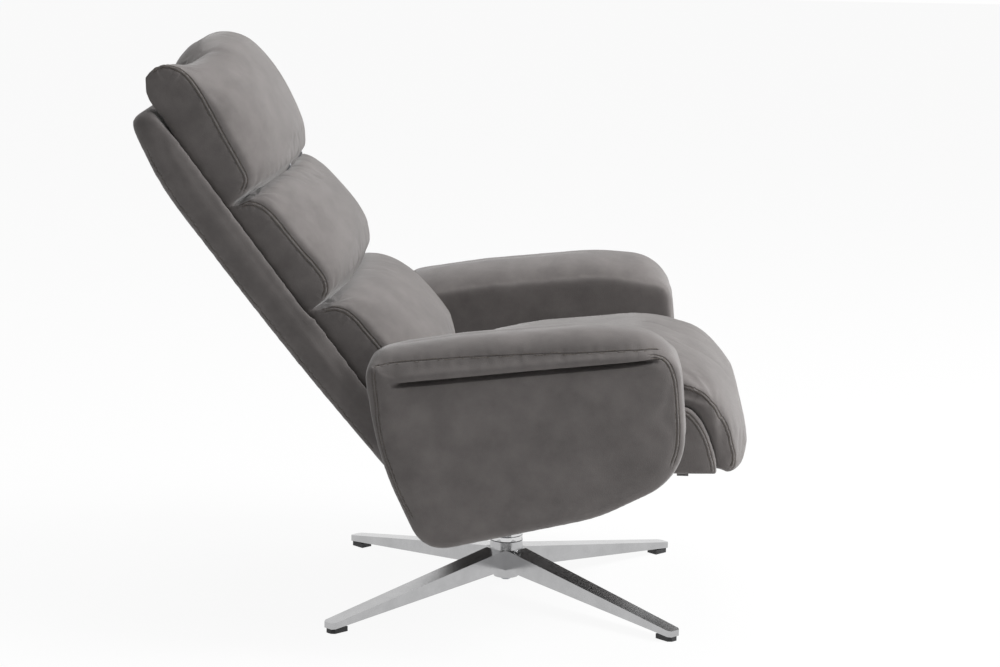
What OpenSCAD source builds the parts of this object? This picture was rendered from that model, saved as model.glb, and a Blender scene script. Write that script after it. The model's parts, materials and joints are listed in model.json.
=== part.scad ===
// Star base swivel recliner, in millimetres. +X is the way the sitter faces, +Y is the sitter's left and +Z is up.
// The origin is on the floor, on the swivel axis. The back is drawn as it stands in the photograph, part reclined.

/* [Star base] */
// Radius of the circle through the middles of the glides
glide_radius = 374; // [300:1:450]
// Turn of the star base under the seat, in degrees
base_turn = 0.65; // [-45:0.05:45]
// Number of legs
leg_count = 4; // [4:1:5]
// Width of a leg at the hub
leg_root_w = 39; // [30:0.5:50]
// Width of a leg at its tip
leg_tip_w = 26; // [20:0.5:30]
// Height of a leg's top face at the hub
leg_root_z = 75; // [60:0.5:95]
// Height of a leg's top face at its tip
leg_tip_z = 18; // [14:0.5:24]
// Depth of a leg at the hub
leg_root_d = 34; // [24:0.5:45]
// Depth of a leg at its tip
leg_tip_d = 10; // [8:0.5:14]
// Thickness of the cast walls
cast_wall = 4.5; // [3:0.1:6]
// Length of a glide
glide_l = 31; // [20:0.5:40]
// Width of a glide
glide_w = 21; // [14:0.5:28]
// Height of a glide
glide_h = 8; // [5:0.5:12]

/* [Hub and column] */
// Radius of the hub
hub_r = 27.5; // [22:0.5:36]
// Height of the hub's top face
hub_z = 88.5; // [80:0.5:110]
// Radius of the boss under the hub
boss_r = 21; // [16:0.5:26]
// Height of the boss's lower face
boss_z = 26; // [18:0.5:40]
// Radius of the pivot post
post_r = 12; // [9:0.5:15]
// Outer radius of the swivel column
column_r = 25.5; // [20:0.5:34]
// Wall of the swivel column
column_wall = 3; // [2:0.25:5]
// Height of the column's top face
column_z = 228; // [190:1:260]
// Radial clearance of a part that turns on another
run_fit = 0.05; // [0.02:0.01:0.1]

/* [Seat] */
// Half of the width of the seat box
seat_half_w = 262; // [220:1:300]
// Height of the underside of the seat box
box_z = 267; // [240:1:290]
// Thickness of the seat box sides
box_side_t = 16; // [12:0.5:22]
// Length of the seat cushion to its front joint
seat_length = 362; // [320:1:400]
// Place of the seat cushion's rear end, measured back from the swivel axis
seat_rear = 50; // [45:1:65]
// Height of the crown of the seat
seat_crest_z = 467; // [450:1:500]
// Height of the cushion's underside at its front joint
seat_base_z = 378; // [365:1:390]

/* [Arms] */
// Gap between the seat box and an arm
arm_gap = 6; // [3:0.5:10]
// Thickness of an arm
arm_t = 150; // [110:1:170]
// Length of an arm
arm_length = 498; // [430:1:560]
// Place of the rear end of an arm, measured back from the swivel axis
arm_rear = 211; // [190:1:230]
// Height of the arm's crest
arm_crest_z = 530; // [500:1:580]
// Height of an arm from its lowest corner to its crest
arm_h = 356; // [330:1:380]
// Height of the rolled top of an arm
roll_h = 44; // [30:1:46]

/* [Back] */
// Lean of the back from upright, in degrees
back_lean = 37; // [25:0.5:45]
// Place of the foot of the back, measured back from the swivel axis
back_foot_x = 90; // [80:1:110]
// Height of the foot of the back
back_foot_z = 350; // [330:1:370]
// Length of the back shell above the foot
shell_l = 668; // [600:1:720]
// Depth of the back shell
shell_d = 64; // [50:1:80]
// Thickness of the padded wall of the shell
shell_wall = 12; // [8:0.5:18]
// Distance from the middle cushion's foot to the back's foot
mid_s = 261; // [235:1:285]
// Distance from the headrest's foot to the back's foot
head_s = 464; // [430:1:500]
// Height of the headrest's top over the shell
head_over = 43; // [30:1:60]

/* [Leg rest] */
// Place of the leg rest's hinge, in front of the seat cushion's front joint
knee_ahead = 10; // [5:0.5:20]
// Height of the leg rest's hinge over the cushion's underside
knee_rise = 14; // [8:0.5:20]
// Height of the lower end of the leg rest
flap_z = 268; // [250:1:285]
// Thickness of the leg rest's board
flap_board_t = 9; // [6:0.5:15]

/* [Hidden] */
$fn = 64;

// Colours
polished = [0.80, 0.80, 0.81];
black = [0.08, 0.08, 0.085];
steel = [0.45, 0.46, 0.48];
cloth = [0.42, 0.40, 0.39];
cloth_dark = [0.35, 0.33, 0.325];
ply = [0.72, 0.58, 0.40];

// Clearances and overruns
cut = 1;
seat_gap = 0.3;
touch_gap = 0.6;
soft_gap = 2;

// Places that several pieces share
arm_inner = seat_half_w + arm_gap;
shell_half_w = seat_half_w;
back_half_w = shell_half_w - soft_gap;
leg_reach = glide_radius + glide_l / 2 + cast_wall / 3;
bore_r = post_r + run_fit;
washer_t = 1;
column_foot_z = hub_z + washer_t + run_fit;
post_top_z = column_z - 3 * column_wall;
bush_h = 16;
plate_t = 4;
plate_x = 206;
plate_y = 190;
rail_w = 30;
rail_h = 30;
rail_z = column_z + plate_t;
plate_bolt_x = 80;
plate_bolt_y = 70;
plate_bolt_r = 4;
box_inner = seat_half_w - box_side_t;
side_rail_z = rail_z + rail_h;

// Places on the back, measured from the back's foot: t is forward from the back's plane and s is up along it
shell_front_t = -83;
shell_rear_t = shell_front_t - shell_d;
shell_foot_s = -62;
lumbar_s = 36;
lean_sin = sin(back_lean);
lean_cos = cos(back_lean);
hinge_t = -15;
hinge_s = 5;
hinge_x = -back_foot_x - hinge_s * lean_sin + hinge_t * lean_cos;
hinge_z = back_foot_z + hinge_s * lean_cos + hinge_t * lean_sin;
frame_r = 11;
strap_t = 2;
cover_t = 1;
frame_t = shell_front_t - frame_r - strap_t - 2 * seat_gap;
frame_set_in = 34;
frame_y = box_inner - frame_set_in;
frame_foot_s = -22;
frame_top_drop = 26;
frame_top_s = head_s - frame_top_drop;
recline_plate_t = 5;
recline_plate_y = frame_y + frame_r + seat_gap;
journal_r = 8;
shaft_r = 10;
bracket_t = 5;
bracket_y = box_inner - bracket_t;
lever_drop = 63;
lever_t = 5;
lever_pin_r = 4;
rod_end_w = 10;

// Places of the headrest's hinge
head_pivot_t = 8;
head_pivot_drop = 1.5;
head_pivot_s = head_s - head_pivot_drop;
head_top_s = shell_l + head_over;
head_plate_t = 4;
head_plate_y = 80;
head_eye_r = 6;
head_pin_r = 3;
head_board_t = 11;

// Places of the gas spring
spring_z = hinge_z - lever_drop;
spring_front_x = 196;
spring_body_r = 11;
spring_rod_r = 4.5;
spring_body_l = 170;
spring_pin_r = 4;
spring_eye_l = 14;
spring_bore_l = 140;
spring_overlap_l = 80;
slot_play = 2.7;

// Places of the knee
knee_rod_r = 6;
knee_eye_r = 9.5;
knee_clear_r = 15;
knee_plate_t = 5;
knee_set_in = 50;
knee_plate_y = box_inner - knee_set_in;
seat_front_x = seat_length - seat_rear;
knee_x = seat_front_x + knee_ahead;
knee_z = seat_base_z + knee_rise;
seat_fall = 40;
seat_foot_z = seat_base_z - seat_fall;
seat_slope = atan(seat_fall / seat_length);
seat_h = seat_crest_z - seat_foot_z;

// A vector of length one
function unit(v) = v / norm(v);

// Height of a cushion's crown across its width, from 0 at its sides to 1 in the middle
function crown(u) = sqrt(1 - pow(abs(u), 2.4));

// Places across a width, from -1 to 1, closer together near the sides
function across(steps) = [for (i = [0 : steps]) -cos(180 * i / steps)];

// How far a face that looks up is rolled: 0 on an upright face and 1 on a level top
function roll_share(up) = let (c = min(1, max(0, (up - 0.1) / 0.8))) c * c * (3 - 2 * c);

// The rounded corner between two edges of an outline. Its points stand in by edge, or by top where the face looks up.
function corner_arc(before, at, after, r, steps, edge, top) =
    let (
        a = unit(before - at),
        b = unit(after - at),
        half = acos(a * b) / 2,
        centre = at + unit(a + b) * r / sin(half),
        first = at + a * r / tan(half) - centre,
        last = at + b * r / tan(half) - centre,
        from = atan2(first[1], first[0]),
        turn = atan2(last[1], last[0]) - from,
        sweep = turn > 180 ? turn - 360 : turn < -180 ? turn + 360 : turn
    )
    [for (i = [0 : steps])
        let (angle = from + sweep * i / steps, n = [cos(angle), sin(angle)])
        centre + (r - edge - (top - edge) * roll_share(n[1])) * n];

// An outline from corners [x, z, radius], listed anticlockwise with x to the right and z up
function outline(corners, steps, edge = 0, top = 0) =
    let (n = len(corners), at = [for (c = corners) [c[0], c[1]]])
    [for (i = [0 : n - 1]) each corner_arc(
        at[(i + n - 1) % n], at[i], at[(i + 1) % n], corners[i][2], steps, edge, top)];

// Corners between two lists of corners
function between(a, b, share) = [for (i = [0 : len(a) - 1]) a[i] + (b[i] - a[i]) * share];

// An outline set upright at a place across the width
function ring_at(points, y) = [for (p = points) [p[0], y, p[1]]];

// Corners [x, z, radius] from shares of a size, counted from a place. The radius follows the height.
function placed(shares, from, size) =
    [for (c = shares) [from[0] + c[0] * size[0], from[1] + c[1] * size[1], c[2] * size[1]]];

// Height of the seat cushion's underside at a place along the seat
function seat_under_z(x) = seat_foot_z + (x + seat_rear) * tan(seat_slope);

// A solid through rings of equally many points. The middle of each end stands in by draw.
module loft(rings, draw = 0) {
    n = len(rings[0]);
    m = len(rings);
    first = rings[0];
    last = rings[m - 1];
    mean_first = [for (k = [0 : 2]) [for (p = first) p[k]] * [for (p = first) 1] / n];
    mean_last = [for (k = [0 : 2]) [for (p = last) p[k]] * [for (p = last) 1] / n];
    polyhedron(
        points = concat(
            [for (r = rings) each r],
            [mean_first + [0, draw, 0], mean_last - [0, draw, 0]]
        ),
        faces = concat(
            [for (i = [0 : m - 2], j = [0 : n - 1]) [i * n + j, i * n + (j + 1) % n, (i + 1) * n + (j + 1) % n]],
            [for (i = [0 : m - 2], j = [0 : n - 1]) [i * n + j, (i + 1) * n + (j + 1) % n, (i + 1) * n + j]],
            [for (j = [0 : n - 1]) [(j + 1) % n, j, m * n]],
            [for (j = [0 : n - 1]) [(m - 1) * n + j, (m - 1) * n + (j + 1) % n, m * n + 1]]
        )
    );
}

// A crowned cushion between the outline at its sides and the outline in its middle
module cushion(middle, side, half_w, steps, stations, draw) {
    loft([for (u = across(stations)) ring_at(outline(between(side, middle, crown(u)), steps), u * half_w)], draw);
}

// A flat plate that stands upright along X, from y to y + t
module upright(y, t) {
    translate([0, y + t, 0])
        rotate([90, 0, 0])
            linear_extrude(t)
                children();
}

// A bar along Y, centred
module cross_bar(r, l) {
    rotate([90, 0, 0])
        cylinder(r = r, h = l, center = true);
}

// The same on the left and on the right
module both_sides() {
    children();
    mirror([0, 1, 0])
        children();
}

// The frame of the back: X is t and Z is s there
module on_back() {
    translate([-back_foot_x, 0, back_foot_z])
        rotate([0, -back_lean, 0])
            children();
}

// Star base: a hub with a boss and four tapered legs that are hollow underneath
module leg_side(wall) {
    polygon([
        [0, leg_root_z - wall],
        [hub_r, leg_root_z - wall],
        [leg_reach - wall, leg_tip_z - wall],
        [leg_reach - wall, leg_tip_z - leg_tip_d - wall],
        [hub_r, leg_root_z - leg_root_d - wall],
        [0, leg_root_z - leg_root_d - wall]
    ]);
}

module leg_plan(wall) {
    polygon([
        [0, -leg_root_w / 2 + wall],
        [hub_r, -leg_root_w / 2 + wall],
        [leg_reach - leg_tip_w / 5 - wall, -leg_tip_w / 2 + wall],
        [leg_reach - wall, -leg_tip_w / 3 + wall],
        [leg_reach - wall, leg_tip_w / 3 - wall],
        [leg_reach - leg_tip_w / 5 - wall, leg_tip_w / 2 - wall],
        [hub_r, leg_root_w / 2 - wall],
        [0, leg_root_w / 2 - wall]
    ]);
}

module leg_form(wall, deeper) {
    intersection() {
        upright(-leg_root_w, 2 * leg_root_w)
            union() {
                leg_side(wall);
                translate([0, -deeper])
                    leg_side(wall);
            }
        linear_extrude(leg_root_z + leg_root_d)
            leg_plan(wall);
    }
}

module star_base() {
    color(polished)
        difference() {
            union() {
                for (i = [0 : leg_count - 1])
                    rotate([0, 0, base_turn + 45 + 360 * i / leg_count])
                        difference() {
                            leg_form(0, 0);
                            difference() {
                                leg_form(cast_wall, leg_tip_d / 2);
                                translate([leg_reach - glide_l - 2 * cast_wall, -leg_root_w, 0])
                                    cube([glide_l + 3 * cast_wall, 2 * leg_root_w, leg_root_z]);
                                cylinder(r = hub_r + cast_wall, h = leg_root_z);
                            }
                        }
                translate([0, 0, leg_root_z - leg_root_d])
                    cylinder(r = hub_r, h = hub_z - leg_root_z + leg_root_d);
                translate([0, 0, boss_z])
                    cylinder(r = boss_r, h = hub_z - boss_z);
            }
            translate([0, 0, boss_z + 2 * cast_wall])
                cylinder(r = post_r, h = hub_z);
            cylinder(r = plate_bolt_r + seat_gap, h = hub_z);
            for (i = [0 : leg_count - 1])
                rotate([0, 0, base_turn + 45 + 360 * i / leg_count])
                    translate([glide_radius, 0, 0])
                        cylinder(r = glide_stem_r, h = glide_h + glide_stem_h);
        }
}

// Glides: black blocks with cut corners, each with a stem that is pressed into the leg
glide_stem_r = 3;
glide_stem_h = 6;
glide_cut = glide_w / 4;

module glide() {
    linear_extrude(glide_h)
        polygon([
            [-glide_l / 2, -glide_w / 2],
            [glide_l / 2 - glide_cut, -glide_w / 2],
            [glide_l / 2, -glide_w / 2 + glide_cut],
            [glide_l / 2, glide_w / 2 - glide_cut],
            [glide_l / 2 - glide_cut, glide_w / 2],
            [-glide_l / 2, glide_w / 2]
        ]);
    cylinder(r = glide_stem_r, h = glide_h + glide_stem_h);
}

module glides() {
    color(black)
        for (i = [0 : leg_count - 1])
            rotate([0, 0, base_turn + 45 + 360 * i / leg_count])
                translate([glide_radius, 0, 0])
                    glide();
}

// Pivot post: pressed into the hub, turned down at the top for the clip
clip_groove_d = 1.5;
clip_t = 2;
clip_z = post_top_z - 3 * clip_t;
post_bolt_depth = 30;

module pivot_post() {
    color(steel)
        translate([0, 0, boss_z + 2 * cast_wall])
            difference() {
                cylinder(r = post_r, h = post_top_z - boss_z - 2 * cast_wall);
                translate([0, 0, clip_z - boss_z - 2 * cast_wall])
                    difference() {
                        cylinder(r = post_r + cut, h = clip_t);
                        cylinder(r = post_r - clip_groove_d, h = clip_t);
                    }
                translate([0, 0, -cut])
                    cylinder(r = plate_bolt_r, h = post_bolt_depth + cut);
            }
}

// Bolt and washer that draw the post down into the hub
module post_bolt() {
    color(steel) {
        translate([0, 0, boss_z - 1.5 * plate_bolt_r])
            cylinder(r = 2 * plate_bolt_r, h = plate_bolt_r, $fn = 6);
        translate([0, 0, boss_z - plate_bolt_r / 2])
            cylinder(r = 3.5 * plate_bolt_r, h = plate_bolt_r / 2);
        translate([0, 0, boss_z - plate_bolt_r / 2])
            cylinder(r = plate_bolt_r, h = post_bolt_depth);
    }
}

// Thrust washer: the thin dark line between the hub and the column
module thrust_washer() {
    color(black)
        translate([0, 0, hub_z])
            difference() {
                cylinder(r = column_r - 1.5 * washer_t, h = washer_t);
                translate([0, 0, -cut])
                    cylinder(r = post_r + seat_gap, h = washer_t + 2 * cut);
            }
}

// Retaining clip in the post's groove, over the upper bush
module post_clip() {
    color(steel)
        translate([0, 0, clip_z])
            difference() {
                cylinder(r = post_r + 2 * clip_groove_d, h = clip_t);
                translate([0, 0, -cut])
                    cylinder(r = post_r - clip_groove_d + run_fit, h = clip_t + 2 * cut);
                translate([0, -post_r / 2, -cut])
                    cube([2 * post_r, post_r, clip_t + 2 * cut]);
            }
}

// Column: a bright tube that turns on the post, with a stepped foot
foot_h = 8;

module column_tube() {
    color(polished)
        translate([0, 0, column_foot_z])
            difference() {
                union() {
                    cylinder(r = hub_r, h = foot_h);
                    cylinder(r = column_r, h = column_z - column_foot_z);
                }
                translate([0, 0, -cut])
                    cylinder(r = column_r - column_wall, h = column_z - column_foot_z + 2 * cut);
            }
}

// Two bushes that line the column
module column_bushes() {
    color(black)
        for (z = [column_foot_z, clip_z - seat_gap - bush_h])
            translate([0, 0, z])
                difference() {
                    cylinder(r = column_r - column_wall, h = bush_h);
                    translate([0, 0, -cut])
                        cylinder(r = bore_r, h = bush_h + 2 * cut);
                }
}

// Swivel plate on the column, with ribs down to it
rib_h = 26;
rib_l = 52;

module swivel_plate() {
    color(steel) {
        difference() {
            translate([-plate_x / 2, -plate_y / 2, column_z])
                cube([plate_x, plate_y, plate_t]);
            plate_bolt_places()
                translate([0, 0, column_z - cut])
                    cylinder(r = plate_bolt_r + seat_gap, h = plate_t + 2 * cut);
        }
        for (i = [0 : 3])
            rotate([0, 0, 90 * i])
                upright(-plate_t / 2, plate_t)
                    polygon([
                        [column_r, column_z],
                        [column_r, column_z - rib_h],
                        [column_r + rib_l, column_z]
                    ]);
    }
}

module plate_bolt_places() {
    for (x = [-plate_bolt_x, plate_bolt_x], y = [-plate_bolt_y, plate_bolt_y])
        translate([x, y, 0])
            children();
}

// Bolts from the plate up into the cross rails
module plate_bolts() {
    color(steel)
        plate_bolt_places() {
            translate([0, 0, column_z - plate_bolt_r])
                cylinder(r = 1.8 * plate_bolt_r, h = plate_bolt_r, $fn = 6);
            translate([0, 0, column_z - plate_bolt_r])
                cylinder(r = plate_bolt_r, h = plate_t + rail_h / 2);
        }
}

// Seat rails: two cross rails over the plate, and two long rails on them that carry the box sides
long_rail_y = box_inner - rail_w;
long_rail_rear = 100;
long_rail_front = 230;
tube_wall = 2.5;

module square_tube(size, wall, bore_axis) {
    difference() {
        cube(size);
        translate([for (k = [0 : 2]) k == bore_axis ? -cut : wall])
            cube([for (k = [0 : 2]) k == bore_axis ? size[k] + 2 * cut : size[k] - 2 * wall]);
    }
}

module seat_rails() {
    color(black)
        difference() {
            union() {
                for (x = [-plate_bolt_x, plate_bolt_x])
                    translate([x - rail_w / 2, seat_gap - box_inner, rail_z])
                        square_tube([rail_w, 2 * (box_inner - seat_gap), rail_h], tube_wall, 1);
                both_sides()
                    translate([-long_rail_rear, long_rail_y, side_rail_z])
                        square_tube([long_rail_rear + long_rail_front, rail_w - seat_gap, rail_h], tube_wall, 0);
            }
            plate_bolt_places()
                translate([0, 0, rail_z - cut])
                    cylinder(r = plate_bolt_r + seat_gap, h = tube_wall + 2 * cut);
        }
}

// Seat box sides: padded boards whose front follows the leg rest
box_rear_x = -112;
box_front_top_x = seat_front_x - 3 * knee_clear_r;
box_knee_x = knee_x - 1.2 * knee_clear_r;
box_side_corners = [
    [box_rear_x, box_z, 0.4 * knee_clear_r],
    [knee_x + 1.07 * knee_clear_r, box_z, 0.35 * knee_clear_r],
    [knee_x + 0.53 * knee_clear_r, knee_z - 4.8 * knee_clear_r, 4 * knee_clear_r],
    [box_knee_x, seat_under_z(box_knee_x) - seat_gap, 1.5 * knee_clear_r],
    [box_front_top_x, seat_under_z(box_front_top_x) - seat_gap, 2.7 * knee_clear_r],
    [-seat_rear, seat_foot_z - seat_gap, 2 * knee_clear_r],
    [box_rear_x, seat_foot_z - 1.5 * knee_clear_r, 0.5 * knee_clear_r]
];

module box_side_form() {
    difference() {
        upright(box_inner, box_side_t)
            polygon(outline(box_side_corners, 8));
        arm_sleeve_places(box_inner - cut, box_side_t + 2 * cut)
            circle(r = arm_bolt_r + seat_gap);
    }
}

module box_side_left() {
    color(cloth_dark)
        box_side_form();
}

module box_side_right() {
    color(cloth_dark)
        mirror([0, 1, 0])
            box_side_form();
}

// Front rail: a board between the box sides, behind the leg rest
front_rail_t = 18;
front_rail_set_back = 28;
front_rail_x = knee_x - front_rail_set_back;
front_rail_drop = 30;
front_rail_z = side_rail_z + 2 * cover_t;

module box_front_rail() {
    color(ply)
        translate([front_rail_x - front_rail_t, -box_inner, front_rail_z])
            cube([front_rail_t, 2 * box_inner, knee_z - front_rail_drop - front_rail_z]);
}

// Elastic straps from side to side under the seat cushion
strap_w = 50;
strap_count = 5;

module seat_straps() {
    color(black)
        for (i = [0 : strap_count - 1])
            translate([-seat_rear, 0, seat_foot_z - seat_gap])
                rotate([0, -seat_slope, 0])
                    translate([
                        (i + 0.25) * (seat_length - strap_w) / strap_count,
                        seat_gap - box_inner,
                        -strap_t
                    ])
                        cube([strap_w, 2 * (box_inner - seat_gap), strap_t]);
}

// Seat cushion: crowned, lower at its sides, and flat at its front joint
seat_base_share = seat_fall / seat_h;
seat_middle_shares = [
    [0, 0, 0.062],
    [1, seat_base_share, 0.016],
    [1, 0.907, 0.016],
    [0.768, 1.008, 1.7],
    [0.083, 0.798, 1.55],
    [0, 0.698, 0.2]
];
seat_side_shares = [
    [0, 0, 0.062],
    [1, seat_base_share, 0.016],
    [1, 0.419, 0.016],
    [0.889, 0.566, 0.466],
    [0.083, 0.411, 0.775],
    [0, 0.38, 0.14]
];
seat_place = [-seat_rear, seat_foot_z];
seat_size = [seat_length, seat_h];
cushion_draw = 3;

module seat_cushion() {
    color(cloth)
        cushion(
            placed(seat_middle_shares, seat_place, seat_size),
            placed(seat_side_shares, seat_place, seat_size),
            seat_half_w - soft_gap, 5, 14, cushion_draw
        );
}

// Foam strip behind the seat cushion, which closes the bight under the back
bight_l = 34;
bight_h = 34;
bight_half_w = bracket_y - soft_gap;

module bight_foam() {
    color(cloth)
        upright(-bight_half_w, 2 * bight_half_w)
            polygon([
                [-seat_rear - bight_l, seat_under_z(-seat_rear - bight_l)],
                [-seat_rear - seat_gap, seat_foot_z],
                [-seat_rear - seat_gap, seat_foot_z + bight_h],
                [-seat_rear - bight_l, seat_foot_z + 0.76 * bight_h]
            ]);
}

// Thin cloth that closes the underside of the seat box
module underside_cover() {
    color(black)
        translate([-long_rail_rear, seat_gap - long_rail_y, side_rail_z + seat_gap])
            cube([long_rail_rear + front_rail_x, 2 * (long_rail_y - seat_gap), cover_t]);
}

// Arms. The corners of an arm's outline are shares of its length and of its height.
arm_corner_shares = [
    [0.189, 0, 0.146],
    [0.725, 0.174, 0.702],
    [1.000, 0.365, 0.211],
    [0.962, 0.982, 0.163],
    [0.544, 1.000, 1.68],
    [0.000, 0.860, 0.129],
    [0.054, 0.388, 1.4]
];
arm_corners = placed(arm_corner_shares, [-arm_rear, arm_crest_z - arm_h], [arm_length, arm_h]);
arm_outer = arm_inner + arm_t;
arm_crest_y = arm_outer - roll_h;
arm_edge_r = 14;
arm_border = 17;
arm_board_t = 18;
arm_panel_t = 24;
arm_panel_inset = 3;
arm_bolt_r = 4;
arm_sleeve_r = 11;
slot_h = 9;

// The slot under the rolled top runs from the rear to the front, rising as it goes
slot_drop = 101;
slot_rear_z = arm_crest_z - slot_drop;
slot_rise = 56;

function arm_edge(y) =
    let (q = min(y - arm_inner, arm_outer - y))
    q >= arm_edge_r ? 0 : arm_edge_r - sqrt(arm_edge_r * arm_edge_r - (arm_edge_r - q) * (arm_edge_r - q));

function arm_roll(y) =
    let (u = (y - arm_crest_y) / (y < arm_crest_y ? arm_crest_y - arm_inner : arm_outer - arm_crest_y))
    roll_h * (1 - sqrt(max(0, 1 - u * u)));

module below_slot(drop) {
    polygon([
        [-arm_rear - cut, slot_rear_z - drop],
        [-arm_rear - cut, arm_crest_z - 2 * arm_h],
        [arm_length, arm_crest_z - 2 * arm_h],
        [arm_length, slot_rear_z + slot_rise * (arm_length + arm_rear) / arm_length - drop]
    ]);
}

module arm_field(border, drop) {
    intersection() {
        polygon(outline(arm_corners, 5, border, border));
        below_slot(drop);
    }
}

// Bolts that carry an arm, as shares of its length and height
arm_bolt_shares = [[0.46, 0.378], [0.63, 0.378], [0.80, 0.398]];

module arm_sleeve_places(y, l) {
    for (s = arm_bolt_shares)
        translate([-arm_rear + s[0] * arm_length, 0, arm_crest_z - arm_h + s[1] * arm_h])
            upright(y, l)
                children();
}

module arm_pad_form() {
    mid = arm_inner + arm_t / 2;
    difference() {
        loft([for (u = across(10))
            let (y = mid + u * arm_t / 2)
            ring_at(outline(arm_corners, 5, arm_edge(y), arm_roll(y)), y)], cushion_draw);
        upright(arm_outer - arm_panel_t - arm_board_t, arm_t)
            arm_field(arm_border, 0);
        arm_sleeve_places(arm_inner - cut, arm_t)
            circle(r = arm_sleeve_r + seat_gap);
    }
}

module arm_board_form() {
    difference() {
        upright(arm_outer - arm_panel_t - arm_board_t + seat_gap, arm_board_t - 2 * seat_gap)
            arm_field(arm_border + seat_gap, seat_gap);
        arm_sleeve_places(arm_inner, arm_t)
            circle(r = arm_bolt_r + seat_gap);
    }
}

module arm_panel_form() {
    upright(arm_outer - arm_panel_t, arm_panel_t - arm_panel_inset)
        arm_field(arm_border + seat_gap, slot_h);
}

module arm_pad_left() {
    color(cloth)
        arm_pad_form();
}

module arm_pad_right() {
    color(cloth)
        mirror([0, 1, 0])
            arm_pad_form();
}

module arm_board_left() {
    color(ply)
        arm_board_form();
}

module arm_board_right() {
    color(ply)
        mirror([0, 1, 0])
            arm_board_form();
}

module arm_panel_left() {
    color(cloth_dark)
        arm_panel_form();
}

module arm_panel_right() {
    color(cloth_dark)
        mirror([0, 1, 0])
            arm_panel_form();
}

// Sleeves that keep each arm off the seat box
module arm_sleeves() {
    color(steel)
        both_sides()
            arm_sleeve_places(seat_half_w, arm_outer - arm_panel_t - arm_board_t - seat_half_w + seat_gap)
                difference() {
                    circle(r = arm_sleeve_r);
                    circle(r = arm_bolt_r + seat_gap);
                }
}

// Bolts through the box side, the sleeve and the arm board
module arm_bolts() {
    color(steel)
        both_sides() {
            arm_sleeve_places(box_inner - arm_bolt_r, arm_bolt_r)
                circle(r = 2 * arm_bolt_r);
            arm_sleeve_places(box_inner - arm_bolt_r, arm_outer - arm_panel_t - seat_gap - box_inner + arm_bolt_r)
                circle(r = arm_bolt_r);
        }
}

// Recline brackets: plates on the box sides, over the long rails, with the bores that the shaft turns in
bracket_foot_z = side_rail_z + rail_h + seat_gap;

module recline_brackets() {
    color(steel)
        both_sides()
            upright(bracket_y, bracket_t)
                difference() {
                    polygon(outline([
                        [hinge_x - 2.2 * journal_r, hinge_z - 3 * journal_r, journal_r],
                        [hinge_x + journal_r, bracket_foot_z, bracket_t],
                        [hinge_x + 12 * journal_r, bracket_foot_z, bracket_t / 2],
                        [hinge_x + 12 * journal_r, hinge_z - 5 * journal_r, 0.6 * journal_r],
                        [hinge_x + 2.5 * journal_r, hinge_z + 2.4 * journal_r, 1.75 * journal_r],
                        [hinge_x - 2.2 * journal_r, hinge_z + 2.4 * journal_r, 1.75 * journal_r]
                    ], 6));
                    translate([hinge_x, hinge_z])
                        circle(r = journal_r + run_fit);
                }
}

// Recline shaft: a cross shaft with turned ends and a forked lever that hangs down to the gas spring
module recline_shaft() {
    color(steel) {
        translate([hinge_x, 0, hinge_z]) {
            cross_bar(shaft_r, 2 * (bracket_y - seat_gap));
            cross_bar(journal_r, 2 * (bracket_y + bracket_t - seat_gap));
        }
        for (side = [-1, 1])
            upright(side * (rod_end_w / 2 + seat_gap + lever_t / 2) - lever_t / 2, lever_t)
                polygon(outline([
                    [hinge_x - 0.9 * shaft_r, spring_z - 1.8 * lever_pin_r, 1.5 * lever_pin_r],
                    [hinge_x + 0.9 * shaft_r, spring_z - 1.8 * lever_pin_r, 1.5 * lever_pin_r],
                    [hinge_x + 1.6 * shaft_r, hinge_z, lever_pin_r / 2],
                    [hinge_x - 1.6 * shaft_r, hinge_z, lever_pin_r / 2]
                ], 5));
        translate([hinge_x, 0, spring_z])
            cross_bar(lever_pin_r, 2 * (rod_end_w / 2 + seat_gap + lever_t));
    }
}

// Recline plates: from the shaft back and up to the side tubes of the back frame
module recline_plates() {
    color(steel)
        on_back()
            both_sides()
                upright(recline_plate_y, recline_plate_t)
                    difference() {
                        polygon(outline([
                            [frame_t - 0.8 * frame_r, hinge_s - 2 * shaft_r, 0.5 * frame_r],
                            [hinge_t + 1.8 * shaft_r, hinge_s - 1.8 * shaft_r, 1.4 * shaft_r],
                            [hinge_t + 1.8 * shaft_r, hinge_s + 1.8 * shaft_r, 1.3 * shaft_r],
                            [shell_front_t - touch_gap, lumbar_s - 2 * soft_gap, soft_gap],
                            [shell_front_t - touch_gap, hinge_s + 9 * shaft_r, 0.4 * frame_r],
                            [frame_t - 0.8 * frame_r, hinge_s + 9 * shaft_r, 0.5 * frame_r]
                        ], 5));
                        translate([hinge_t, hinge_s])
                            circle(r = shaft_r + run_fit);
                    }
}

// Back frame: a welded loop of round tube
module back_frame() {
    color(black)
        on_back() {
            for (s = [frame_foot_s, frame_top_s])
                translate([frame_t, 0, s])
                    cross_bar(frame_r, 2 * frame_y);
            both_sides()
                translate([frame_t, frame_y, frame_foot_s]) {
                    cylinder(r = frame_r, h = frame_top_s - frame_foot_s);
                    sphere(r = frame_r);
                    translate([0, 0, frame_top_s - frame_foot_s])
                        sphere(r = frame_r);
                }
        }
}

// Elastic straps across the back frame
back_strap_count = 5;
back_strap_first = 60;
back_strap_pitch = (frame_top_s - frame_foot_s - 1.5 * back_strap_first) / back_strap_count;

module back_straps() {
    color(black)
        on_back()
            for (i = [0 : back_strap_count - 1])
                translate([
                    frame_t + frame_r + seat_gap,
                    -frame_y,
                    frame_foot_s + back_strap_first + i * back_strap_pitch
                ])
                    cube([strap_t, 2 * frame_y, strap_w]);
}

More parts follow.
